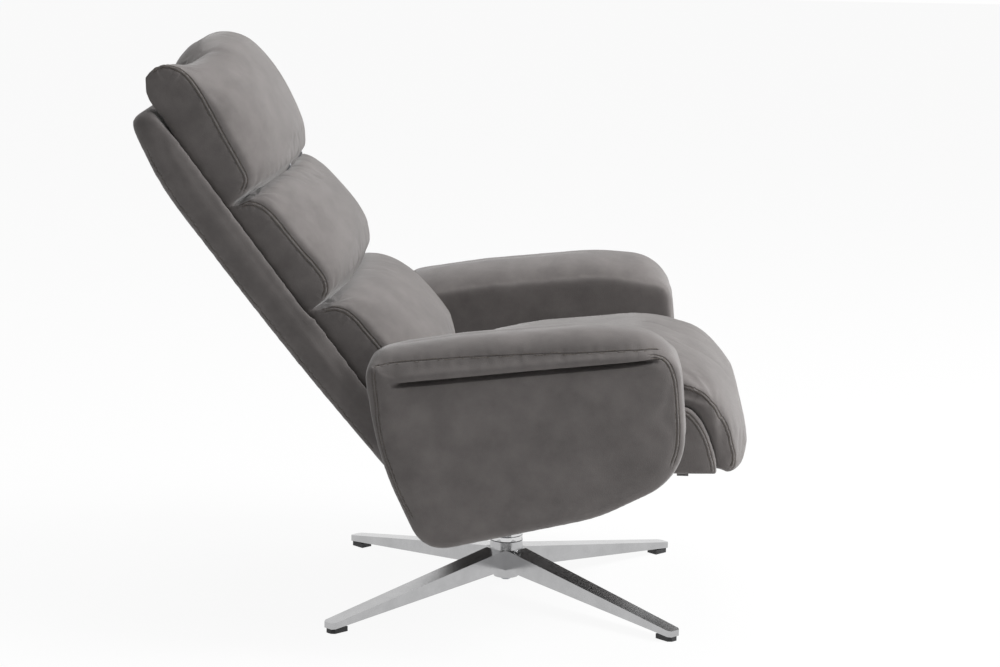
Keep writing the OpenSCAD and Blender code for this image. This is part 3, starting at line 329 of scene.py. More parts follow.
class Bench:
    """Small modelling steps that all pieces share."""

    @staticmethod
    def activate(piece: Piece) -> None:
        """Selects one piece alone and makes it active.

        Args:
            piece: The piece.
        """
        bpy.ops.object.select_all(action="DESELECT")
        piece.select_set(True)
        bpy.context.view_layer.objects.active = piece

    @classmethod
    def apply(cls, piece: Piece, kind: str, **settings) -> None:
        """Adds a modifier with the given settings and applies it.

        Args:
            piece: The piece.
            kind: The modifier's type.
            settings: Its settings by name.
        """
        cls.activate(piece)
        modifier = piece.modifiers.new(kind.title(), kind)
        for name, value in settings.items():
            setattr(modifier, name, value)
        bpy.ops.object.modifier_apply(modifier=modifier.name)

    @staticmethod
    def add(name: str, data: bpy.types.ID) -> Piece:
        """Puts new data into the scene as an object.

        Args:
            name: The object's name.
            data: Its mesh, lamp or camera.
        Returns:
            The object.
        """
        piece = bpy.data.objects.new(name, data)
        bpy.context.scene.collection.objects.link(piece)
        return piece

    @classmethod
    def mesh_piece(cls, name: str, points: np.ndarray, faces: list) -> Piece:
        """Makes a piece from points in metres and faces, with its faces pointing outwards.

        Args:
            name: The piece's name.
            points: Its points.
            faces: Its faces, as places in points.
        Returns:
            The piece.
        """
        mesh = bpy.data.meshes.new(name)
        mesh.from_pydata([tuple(p) for p in points], [], faces)
        shape = bmesh.new()
        shape.from_mesh(mesh)
        bmesh.ops.remove_doubles(shape, verts=shape.verts, dist=1e-6)
        bmesh.ops.recalc_face_normals(shape, faces=shape.faces)
        shape.to_mesh(mesh)
        shape.free()
        return cls.add(name, mesh)

    @classmethod
    def loft(cls, name: str, rings: np.ndarray) -> Piece:
        """Makes a closed piece through rings of equally many points.

        Args:
            name: The piece's name.
            rings: Array of rings by points by 3, in metres.
        Returns:
            The piece.
        """
        count, size, _ = rings.shape
        faces = [
            (i * size + j, i * size + (j + 1) % size, (i + 1) * size + (j + 1) % size, (i + 1) * size + j)
            for i in range(count - 1)
            for j in range(size)
        ]
        faces.append(tuple(range(size)))
        faces.append(tuple((count - 1) * size + j for j in reversed(range(size))))
        return cls.mesh_piece(name, rings.reshape(-1, 3), faces)

    @staticmethod
    def positions(piece: Piece) -> np.ndarray:
        """Gives the piece's points as an array.

        Args:
            piece: The piece.
        Returns:
            Array of points by 3, in metres.
        """
        flat = np.zeros(len(piece.data.vertices) * 3)
        piece.data.vertices.foreach_get("co", flat)
        return flat.reshape(-1, 3)

    @staticmethod
    def normals(piece: Piece) -> np.ndarray:
        """Gives the normal at each of the piece's points.

        Args:
            piece: The piece.
        Returns:
            Array of points by 3.
        """
        flat = np.zeros(len(piece.data.vertices) * 3)
        piece.data.vertex_normals.foreach_get("vector", flat)
        return flat.reshape(-1, 3)

    @staticmethod
    def move_to(piece: Piece, points: np.ndarray) -> None:
        """Moves the piece's points to new places."""
        piece.data.vertices.foreach_set("co", points.astype(np.float32).ravel())
        piece.data.update()

    @classmethod
    def smooth(cls, piece: Piece) -> None:
        """Shades the piece smooth."""
        cls.activate(piece)
        bpy.ops.object.shade_smooth()

    @staticmethod
    def dress(piece: Piece, material: Material) -> None:
        """Gives the piece one material."""
        piece.data.materials.clear()
        piece.data.materials.append(material)


class Curves:
    """Outlines and paths."""

    @staticmethod
    def loop(points: Points, per: int = PER, closed: bool = True) -> np.ndarray:
        """Draws a smooth curve through points.

        Args:
            points: The points.
            per: Points drawn for each one given.
            closed: Whether the curve closes on itself.
        Returns:
            The drawn points.
        """
        given = np.array(points, float)
        count = len(given)
        spans = count if closed else count - 1
        drawn = []
        for i in range(spans):
            pick = [(i + k) % count if closed else min(max(i + k, 0), count - 1) for k in (-1, 0, 1, 2)]
            a, b, c, d = given[pick]
            for share in np.arange(per) / per:
                t2 = share * share
                t3 = t2 * share
                second = (2 * a - 5 * b + 4 * c - d) * t2
                third = (3 * b - a - 3 * c + d) * t3
                drawn.append(0.5 * (2 * b + (c - a) * share + second + third))
        if not closed:
            drawn.append(given[-1])
        return np.array(drawn)

    @staticmethod
    def across(outline: np.ndarray, y: float) -> np.ndarray:
        """Gives an outline in x and z at a place across the chair, in metres."""
        return np.stack([outline[:, 0], np.full(len(outline), y), outline[:, 1]], axis=1) * MM

    @staticmethod
    def round_edge(near: float, edge: float) -> float:
        """Gives how far a rounded edge stands in, at a distance from the piece's end."""
        return 0.0 if near >= edge else edge - math.sqrt(max(0.0, edge**2 - (edge - near) ** 2))

    @staticmethod
    def even(path: np.ndarray, step: float) -> np.ndarray:
        """Places points along a path at an even step.

        Args:
            path: The path.
            step: The step.
        Returns:
            The placed points.
        """
        runs = np.linalg.norm(np.diff(path, axis=0), axis=1)
        total = np.concatenate([[0], np.cumsum(runs)])
        places = np.linspace(0, total[-1], max(2, int(total[-1] / step) + 1))
        return np.stack([np.interp(places, total, path[:, k]) for k in range(path.shape[1])], axis=1)

    @staticmethod
    def rounded(corners: Points, steps: int, inset: float = 0.0, top: float | None = None) -> np.ndarray:
        """Rounds an outline's corners, each (x, z, radius), listed anticlockwise.

        Args:
            corners: The corners.
            steps: Pieces of each arc.
            inset: How far the outline stands in.
            top: How far it stands in where it faces up.
        Returns:
            The outline's points.
        """
        top = inset if top is None else top
        at = np.array([c[:2] for c in corners], float)
        drawn = []
        for i, (_, _, radius) in enumerate(corners):
            a = at[i - 1] - at[i]
            b = at[(i + 1) % len(at)] - at[i]
            a /= np.linalg.norm(a)
            b /= np.linalg.norm(b)
            half = math.acos(float(a @ b)) / 2
            middle = (a + b) / np.linalg.norm(a + b)
            centre = at[i] + middle * radius / math.sin(half)
            first = at[i] + a * radius / math.tan(half) - centre
            last = at[i] + b * radius / math.tan(half) - centre
            start = math.atan2(first[1], first[0])
            turn = (math.atan2(last[1], last[0]) - start + math.pi) % (2 * math.pi) - math.pi
            for k in range(steps + 1):
                angle = start + turn * k / steps
                normal = np.array([math.cos(angle), math.sin(angle)])
                up = min(1.0, max(0.0, (normal[1] - SLOPE_FROM) / SLOPE_W))
                stand = inset + (top - inset) * up * up * (3 - 2 * up)
                drawn.append(centre + (radius - stand) * normal)
        return np.array(drawn)


@dataclass(frozen=True)
class BackPlane:
    """The back's own frame: t is forward from the back's plane and s is up along it."""

    foot_x: float = -90.0
    foot_z: float = 350.0
    lean: float = 37.0

    def place(self, t: np.ndarray, y: np.ndarray, s: np.ndarray) -> np.ndarray:
        """Gives points in the row frame, in metres, from places on the back in millimetres.

        Args:
            t: Places forward from the back's plane.
            y: Places across.
            s: Places up along the plane.
        Returns:
            The points.
        """
        sine = math.sin(math.radians(self.lean))
        cosine = math.cos(math.radians(self.lean))
        t, y, s = np.broadcast_arrays(np.asarray(t, float), np.asarray(y, float), np.asarray(s, float))
        x = self.foot_x - s * sine + t * cosine
        z = self.foot_z + s * cosine + t * sine
        return np.stack([x, y, z], axis=-1) * MM

    def find(self, points: np.ndarray) -> tuple[np.ndarray, np.ndarray]:
        """Gives the places t and s on the back, in millimetres, of points in the row frame.

        Args:
            points: The points.
        Returns:
            The places t and the places s.
        """
        sine = math.sin(math.radians(self.lean))
        cosine = math.cos(math.radians(self.lean))
        x = points[:, 0] / MM - self.foot_x
        z = points[:, 2] / MM - self.foot_z
        return x * cosine + z * sine, z * cosine - x * sine


@dataclass
class Seam:
    """A seam along a path on a padded piece: one groove, or two with a raised welt between them."""

    path: np.ndarray
    gap: float = 5.4
    groove: float = 1.15
    welt: float = 0.5
    pucker: float = 0.7
    reach: float = 22.0
    margin: float = 2.2
    wave_share: float = 0.4
    double: bool = True
    groove_w: float = 0.95
    welt_w: float = 2.2
    sink: float = 0.8
    sink_w: float = 9.0
    pucker_w: float = 8.0
    end_fade: float = 12.0
    step: float = 1.5
    waves: tuple[float, ...] = (16.0, 23.0, 37.0, 61.0)


@dataclass(frozen=True)
class Fan:
    """Small folds that spread from a place: how many make a full turn, their height and their reach."""

    folds: float
    height: float
    reach: float
    clear: float = 5.0
    rise_w: float = 12.0
    skew: float = 0.7
    skew_folds: float = 2.3
    half_angle: float = 1.3


@dataclass
class Upholstery:
    """Turns rough forms into padded pieces with seams and stitches."""

    cloth: Material
    thread: Material
    voxel: float = 5.5
    stitch_l: float = 3.6
    stitch_pitch: float = 4.6
    stitch_r: float = 0.5
    stitch_sink: float = 0.1
    stitch_taper: float = 0.45
    divide: tuple[float, float] = (11.0, 7.0)

    def pad(self, piece: Piece, puff: Puff, held: Hold, inset: float) -> None:
        """Remeshes a rough form evenly, blows it up with the cloth solver and rounds it off.

        Args:
            piece: The rough form.
            puff: How hard it is blown up.
            held: A function of the points that gives how firmly each is held, from 0 to 1.
            inset: How far the form is drawn in first.
        """
        Bench.apply(piece, "REMESH", mode="VOXEL", voxel_size=self.voxel * MM, adaptivity=0.0)
        Bench.apply(piece, "SMOOTH", factor=0.5, iterations=6)
        hold = held(Bench.positions(piece))
        drawn_in = (inset * MM * (1 - hold))[:, None]
        Bench.move_to(piece, Bench.positions(piece) - Bench.normals(piece) * drawn_in)
        self._inflate(piece, puff, hold)
        Bench.apply(piece, "SMOOTH", factor=0.4, iterations=2)
        Bench.apply(piece, "SUBSURF", levels=1, render_levels=1)

    @staticmethod
    def _inflate(piece: Piece, puff: Puff, hold: np.ndarray) -> None:
        """Runs the cloth solver under pressure, and caps how far each point moves.

        Args:
            piece: The piece.
            puff: How hard it is blown up.
            hold: How firmly each point is held.
        """
        pressure, cap, inwards = puff.value
        before = Bench.positions(piece)
        normals = Bench.normals(piece)
        group = piece.vertex_groups.new(name="held")
        levels = np.round(hold, 1)
        for level in np.unique(levels):
            if level > 0:
                group.add(np.nonzero(levels == level)[0].tolist(), float(level), "REPLACE")
        modifier = piece.modifiers.new("Cloth", "CLOTH")
        cloth = modifier.settings
        for name, value in CLOTH.items():
            setattr(cloth, name, value)
        cloth.uniform_pressure_force = pressure
        cloth.effector_weights.gravity = 0
        cloth.vertex_group_mass = "held"
        modifier.collision_settings.use_collision = False
        modifier.collision_settings.use_self_collision = False
        modifier.point_cache.frame_start = 1
        modifier.point_cache.frame_end = FRAMES
        scene = bpy.context.scene
        for frame in range(1, FRAMES + 1):
            scene.frame_set(frame)
        Bench.activate(piece)
        bpy.ops.object.modifier_apply(modifier=modifier.name)
        scene.frame_set(1)
        move = Bench.positions(piece) - before
        sunk = np.minimum(0.0, np.sum(move * normals, axis=1))
        move -= normals * (sunk * (1 - inwards))[:, None]
        size = np.linalg.norm(move, axis=1)
        share = np.minimum(1.0, cap * MM / np.maximum(size, 1e-9))
        Bench.move_to(piece, before + move * share[:, None])

    @staticmethod
    def soften(piece: Piece, voxel: float, rounds: int) -> None:
        """Remeshes a thin or hidden pad evenly and rounds it off, without the cloth solver.

        Args:
            piece: The rough form.
            voxel: Size of the remesh in millimetres.
            rounds: Rounds of smoothing.
        """
        Bench.apply(piece, "REMESH", mode="VOXEL", voxel_size=voxel * MM)
        Bench.apply(piece, "SMOOTH", factor=0.5, iterations=rounds)
        Bench.apply(piece, "SUBSURF", levels=1, render_levels=1)

    def sew(self, piece: Piece, seams: list[Seam], seed: int) -> list[Piece]:
        """Presses the seams into a padded piece and lays their stitches.

        Args:
            piece: The padded piece.
            seams: Its seams.
            seed: Seed of the puckers.
        Returns:
            The stitch pieces.
        """
        surface = self._surface(piece)
        paths = [self._snap(surface, Curves.even(seam.path, seam.step * MM)) for seam in seams]
        for reach in self.divide:
            self.refine(piece, paths, reach)
        for seam, path in zip(seams, paths):
            self._press(piece, seam, path, seed)
        tree = self._surface(piece)
        rows = []
        for seam in seams:
            rows.extend(self._rows(tree, seam))
        return [self._stitches(f"{piece.name}_stitching", rows)]

    @staticmethod
    def refine(piece: Piece, paths: list[np.ndarray], reach: float) -> None:
        """Divides the faces within a reach of the paths, so that fine seams can be pressed in.

        Args:
            piece: The padded piece.
            paths: The paths, in metres.
            reach: The reach in millimetres.
        """
        tree = Upholstery._marks(np.concatenate(paths))
        shape = bmesh.new()
        shape.from_mesh(piece.data)
        near = {v for v in shape.verts if tree.find(v.co)[2] < reach * MM}
        edges = [e for e in shape.edges if e.verts[0] in near and e.verts[1] in near]
        bmesh.ops.subdivide_edges(shape, edges=edges, cuts=1, use_grid_fill=True)
        shape.to_mesh(piece.data)
        shape.free()

    @staticmethod
    def _marks(points: np.ndarray) -> KDTree:
        """Gives a tree that finds the nearest of some points.

        Args:
            points: The points.
        Returns:
            The tree.
        """
        tree = KDTree(len(points))
        for i, p in enumerate(points):
            tree.insert(Vector(p), i)
        tree.balance()
        return tree

    @staticmethod
    def _surface(piece: Piece) -> BVHTree:
        """Gives the piece's surface for finding the nearest place on it.

        Args:
            piece: The piece.
        Returns:
            The tree of its faces.
        """
        shape = bmesh.new()
        shape.from_mesh(piece.data)
        tree = BVHTree.FromBMesh(shape)
        shape.free()
        return tree

    @staticmethod
    def _snap(tree: BVHTree, path: np.ndarray) -> np.ndarray:
        """Moves a path's points onto a surface."""
        return np.array([tree.find_nearest(Vector(p))[0] for p in path])

    @staticmethod
    def _press(piece: Piece, seam: Seam, path: np.ndarray, seed: int) -> None:
        """Presses the grooves, raises the welt between them, and adds puckers that fade with distance.

        Args:
            piece: The padded piece.
            seam: The seam.
            path: Its path on the surface.
            seed: Seed of the puckers.
        """
        tree = Upholstery._marks(path)
        points = Bench.positions(piece)
        normals = Bench.normals(piece)
        low = path.min(axis=0) - seam.reach * seam.margin * MM
        high = path.max(axis=0) + seam.reach * seam.margin * MM
        near = np.nonzero(np.all((points > low) & (points < high), axis=1))[0]
        found = [tree.find(Vector(points[i])) for i in near]
        away = np.array([f[2] for f in found]) / MM
        along = np.array([f[1] for f in found]) * seam.step
        draw = np.random.default_rng(seed)
        waves = sum(
            draw.uniform(0.5, 1.0) * np.sin(2 * math.pi * along / wave + draw.uniform(0, 6.28))
            for wave in seam.waves
        )
        offset = seam.gap / 2 if seam.double else 0.0
        lift = -seam.groove * bell(away - offset, seam.groove_w)
        if seam.double:
            lift += seam.welt * bell(away, seam.welt_w)
        lift -= seam.sink * bell(away, seam.sink_w)
        near_fade = (away / seam.pucker_w) * np.exp(1 - away / seam.pucker_w)
        fade = near_fade * bell(away, seam.reach)
        lift += seam.pucker * seam.wave_share * waves * fade
        total = len(path) * seam.step
        ends = ramp(np.minimum(along, total - along), seam.end_fade)
        points[near] += normals[near] * (lift * ends * MM)[:, None]
        Bench.move_to(piece, points)

    def _rows(self, tree: BVHTree, seam: Seam) -> list[tuple[Vector, Vector, Vector]]:
        """Places the stitches of a seam, each as a centre, a direction and a normal.

        Args:
            tree: The piece's surface.
            seam: The seam.
        Returns:
            The stitches' places.
        """
        path = self._snap(tree, Curves.even(seam.path, self.stitch_pitch * MM))
        run = np.gradient(path, axis=0)
        rows = []
        for at, along in list(zip(path, run))[2:-2]:
            _, normal, _, _ = tree.find_nearest(Vector(at))
            along = Vector(along).normalized()
            across = normal.cross(along).normalized()
            for side in (-1, 1) if seam.double else (0,):
                spot, up, _, _ = tree.find_nearest(Vector(at) + across * (side * seam.gap * 0.5 * MM))
                rows.append((spot, along, up))
        return rows

    def _stitch_form(self) -> tuple[np.ndarray, list[tuple[int, ...]]]:
        """Models one stitch, a short thread with tapered ends, and gives its points and faces.

        Returns:
            The points and the faces.
        """
        bpy.ops.object.select_all(action="DESELECT")
        bpy.ops.mesh.primitive_cylinder_add(vertices=6, radius=self.stitch_r * MM, depth=self.stitch_l * MM)
        form = bpy.context.active_object
        bpy.ops.object.mode_set(mode="EDIT")
        bpy.ops.mesh.select_all(action="SELECT")
        bpy.ops.mesh.bevel(offset=self.stitch_r * self.stitch_taper * MM, segments=1, affect="EDGES")
        bpy.ops.object.mode_set(mode="OBJECT")
        points = Bench.positions(form)
        faces = [tuple(p.vertices) for p in form.data.polygons]
        bpy.data.objects.remove(form)
        return points, faces

    def _stitches(self, name: str, rows: list[tuple[Vector, Vector, Vector]]) -> Piece:
        """Copies the stitch to every place of a seam, all in one piece.

        Args:
            name: The new piece's name.
            rows: The stitches' places.
        Returns:
            The piece.
        """
        form, faces = self._stitch_form()
        points = []
        polygons = []
        for spot, along, up in rows:
            across = up.cross(along).normalized()
            turn = np.array([across, up, along])
            base = len(points) * len(form)
            points.append(form @ turn + np.array(spot + up * (self.stitch_sink * MM)))
            polygons.extend(tuple(base + i for i in face) for face in faces)
        mesh = bpy.data.meshes.new(name)
        mesh.from_pydata(np.concatenate(points).tolist(), [], polygons)
        piece = Bench.add(name, mesh)
        Bench.smooth(piece)
        Bench.dress(piece, self.thread)
        return piece

    @staticmethod
    def fan(piece: Piece, centre: np.ndarray, inward: np.ndarray, fan: Fan) -> None:
        """Adds small folds that spread from a place where the cover is drawn in.

        Args:
            piece: The padded piece.
            centre: The place, in metres.
            inward: Direction that the middle of the fan points in.
            fan: The folds.
        """
        points = Bench.positions(piece)
        normals = Bench.normals(piece)
        away = (points - centre) / MM
        distance = np.linalg.norm(away, axis=1)
        inward = inward / np.linalg.norm(inward)
        side = np.cross(normals, inward)
        angle = np.arctan2(np.sum(away * side, axis=1), away @ inward)
        rise = ramp(distance - fan.clear, fan.rise_w) * bell(distance, fan.reach)
        wave = np.cos(fan.folds * angle + fan.skew * np.sin(fan.skew_folds * angle))
        wave = wave * bell(angle, fan.half_angle)
        points += normals * (fan.height * MM * rise * wave)[:, None]
        Bench.move_to(piece, points)


@dataclass(kw_only=True)
class Padded:
    """A padded piece: what it is called and stands for, and the steps that make it."""

    name: str
    nodes: tuple[str, ...]
    side: Side | None = None
    body: str = "carriage"
    material_slot: str = "upholstery"
    puff: Puff = Puff.SOFT
    inset: float = 3.0
    fill: float = 0.8
    seed: int = 0

    def __post_init__(self) -> None:
        """Puts the side's word into the names of a piece that comes in pairs."""
        if self.side is not None:
            word = self.side.name.lower()
            self.name = self.name.format(word)
            self.nodes = tuple(node.format(word) for node in self.nodes)

    def rings(self) -> np.ndarray:
        """Gives the rings of the rough form, in metres.

        Returns:
            Array of rings by points by 3.
        """
        raise NotImplementedError

    def held(self, points: np.ndarray) -> np.ndarray:
        """Gives how firmly each point is held while the piece is blown up, from 0 to 1.

        Args:
            points: The piece's points, in metres.
        Returns:
            How firmly each is held.
        """
        return np.zeros(len(points))

    def plump(self, piece: Piece, work: Upholstery) -> None:
        """Turns the rough form into a pad.

        Args:
            piece: The rough form.
            work: The upholstery tools.
        """
        work.pad(piece, self.puff, self.held, self.inset)

    def shape(self, piece: Piece) -> None:
        """Changes the pad before it is sewn, where a piece needs it.

        Args:
            piece: The pad.
        """

    def seams(self) -> list[Seam]:
        """Gives the piece's seams, if it has any.

        Returns:
            The seams.
        """
        return []

    def attach(self, part: Piece) -> None:
        """Lets the pad or its stitches ride on the piece's body.

        Args:
            part: The pad or its stitches.
        """
        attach(part, self.body)

    def build(self, work: Upholstery) -> None:
        """Args:
            work: The upholstery tools.
        """
        piece = Bench.loft(self.name, self.rings())
        self.plump(piece, work)
        self.shape(piece)
        seams = self.seams()
        threads = work.sew(piece, seams, self.seed) if seams else []
        Bench.smooth(piece)
        Bench.dress(piece, work.cloth)
        for part in (piece, *threads):
            self.attach(part)
        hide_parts(*self.nodes)


@dataclass(kw_only=True)
class BackCushion(Padded):
    """A cushion of the back: its outline in the middle and at its ends, as (t, s) on the back."""

    middle: Points
    end: Points
    creases: Points
    fill: float = 0.75
    seam_first: int = 3
    seam_last: int = 12
    half_w: float = 257.0
    stations: int = 33
    tuck: float = 7.0
    tuck_from: float = -35.0
    tuck_w: float = 48.0
    crown: float = 2.0
    rear_t: float = -72.0
    rear_w: float = 8.0
    free_s: float = 690.0
    free_w: float = 90.0
    gusset_hold: float = 0.4
    gusset_y: float = 246.0
    gusset_w: float = 6.0
    proud: float = 6.0
    crease_in: float = 14.0
    crease_aim: Triple = (0.25, 1.0, 0.2)
    crease_fan: Fan = Fan(9.0, 0.8, 48.0)
    plane: BackPlane = BackPlane()

    def rings(self) -> np.ndarray:
        """Gives the cushion's rings from one end to the other.

        Returns:
            Array of rings by points by 3.
        """
        middle = Curves.loop(self.middle)
        end = Curves.loop(self.end)
        rings = []
        for angle in np.linspace(0, math.pi, self.stations):
            u = -math.cos(angle)
            share = math.sqrt(max(0.0, 1 - abs(u) ** self.crown))
            outline = end + (middle - end) * self.shares(share, u, end[:, 1])[:, None]
            depth = ramp(self.tuck_from - outline[:, 0], self.tuck_w)
            y = u * (self.half_w - self.tuck * depth**1.5)
            rings.append(self.plane.place(outline[:, 0], y, outline[:, 1]))
        return np.array(rings)

    def shares(self, share: float, u: float, s: np.ndarray) -> np.ndarray:
        """Gives how far each point of an outline is from the end outline to the middle one.

        Args:
            share: The share at this place across.
            u: The place across, from -1 to 1.
            s: Places up the outline.
        Returns:
            The share of each point.
        """
        return np.full(len(s), share)

    def seams(self) -> list[Seam]:
        """Gives the seams round both ends, along the front of the end outlines.

        Returns:
            The seams.
        """
        path = Curves.loop(self.end)[self.seam_first * PER : self.seam_last * PER + 1]
        y = self.half_w + self.proud
        return [Seam(self.plane.place(path[:, 0], sign * y, path[:, 1])) for sign in (-1, 1)]

    def held(self, points: np.ndarray) -> np.ndarray:
        """Holds the rear face, which rests on the shell.

        Args:
            points: The piece's points, in metres.
        Returns:
            How firmly each is held.
        """
        t, s = self.plane.find(points)
        rear = ramp(self.rear_t - t, self.rear_w) * ramp(self.free_s - s, self.free_w)
        gusset = self.gusset_hold * ramp(np.abs(points[:, 1]) / MM - self.gusset_y, self.gusset_w)
        return np.maximum(rear, gusset)

    def shape(self, piece: Piece) -> None:
        """Adds the folds at the ends of the creases under and over the cushion.

        Args:
            piece: The pad.
        """
        ahead, across, up = self.crease_aim
        for sign in (-1, 1):
            for t, s, tilt in self.creases:
                centre = self.plane.place(t, sign * (self.half_w - self.crease_in), s)
                inward = np.array([ahead, -sign * across, up * tilt])
                Upholstery.fan(piece, centre, inward, self.crease_fan)


@dataclass(kw_only=True)
class Headrest(BackCushion):
    """The headrest, whose top is drawn down into a valley some way in from each end."""

    valley_y: float = 158.0
    valley_depth: float = 32.0
    valley_w: float = 42.0
    fold_depth: float = 5.0
    fold_w: float = 10.0
    settle: float = 38.0
    rise_y: float = 235.0
    rise_w: float = 130.0
    rise_low: float = 0.3
    top_s: float = 600.0
    top_w: float = 80.0
    rear_top: tuple[float, float] = (-80.0, 700.0)
    low_s: float = 560.0
    low_w: float = 60.0
    drift: float = 0.34
    drift_run: tuple[float, float] = (60.0, 160.0)
    fade_from: float = 35.0
    fade_w: float = 92.0
    spread: float = 0.18
    fold_rise: float = 30.0
    far_y: tuple[float, float] = (30.0, 120.0)
    far_s: tuple[float, float] = (610.0, 75.0)
    far_t: tuple[float, float] = (35.0, 75.0)
    corner: Triple = (-24.0, 247.0, 697.0)
    corner_aim: Triple = (-0.2, 1.0, 0.1)
    corner_fan: Fan = Fan(8.0, 1.2, 32.0)

    def shares(self, share: float, u: float, s: np.ndarray) -> np.ndarray:
        """Lets the top rise to its crown further in than the front does.

        Args:
            share: The share at this place across.
            u: The place across, from -1 to 1.
            s: Places up the outline.
        Returns:
            The share of each point.
        """
        rise = ramp(self.rise_y - abs(u) * self.half_w, self.rise_w)
        rise = self.rise_low + (1 - self.rise_low) * rise * rise * (3 - 2 * rise)
        top = ramp(s - self.top_s, self.top_w)
        return share * (1 - top * (1 - rise))

    def shape(self, piece: Piece) -> None:
        """Draws the valleys down, each with a fold that runs forward from it and fades.

        Args:
            piece: The pad.
        """
        points = Bench.positions(piece)
        normals = Bench.normals(piece)
        t, s = self.plane.find(points)
        y = points[:, 1] / MM
        rear, top = self.rear_top
        run = np.clip(t - rear, 0, None) + np.clip(top - s, 0, None)
        straight, most = self.drift_run
        fade = bell(np.clip(run - self.fade_from, 0, None), self.fade_w) * ramp(s - self.low_s, self.low_w)
        for sign in (-1, 1):
            centre = sign * (self.valley_y - self.drift * np.clip(run - straight, 0, most))
            broad = self.valley_depth * bell(y - centre, self.valley_w + self.spread * run)
            sharp = self.fold_depth * bell(y - centre, self.fold_w) * ramp(run, self.fold_rise)
            points -= normals * (MM * (broad + sharp) * fade)[:, None]
        far = ramp(y - self.far_y[0], self.far_y[1]) * ramp(s - self.far_s[0], self.far_s[1])
        far = far * ramp(self.far_t[0] - t, self.far_t[1])
        points[:, 0] += self.settle * MM * far * far * (3 - 2 * far)
        Bench.move_to(piece, points)
        super().shape(piece)
        t, y, s = self.corner
        ahead, across, up = self.corner_aim
        for sign in (-1, 1):
            centre = self.plane.place(t, sign * y, s)
            Upholstery.fan(piece, centre, np.array([ahead, -sign * across, up]), self.corner_fan)


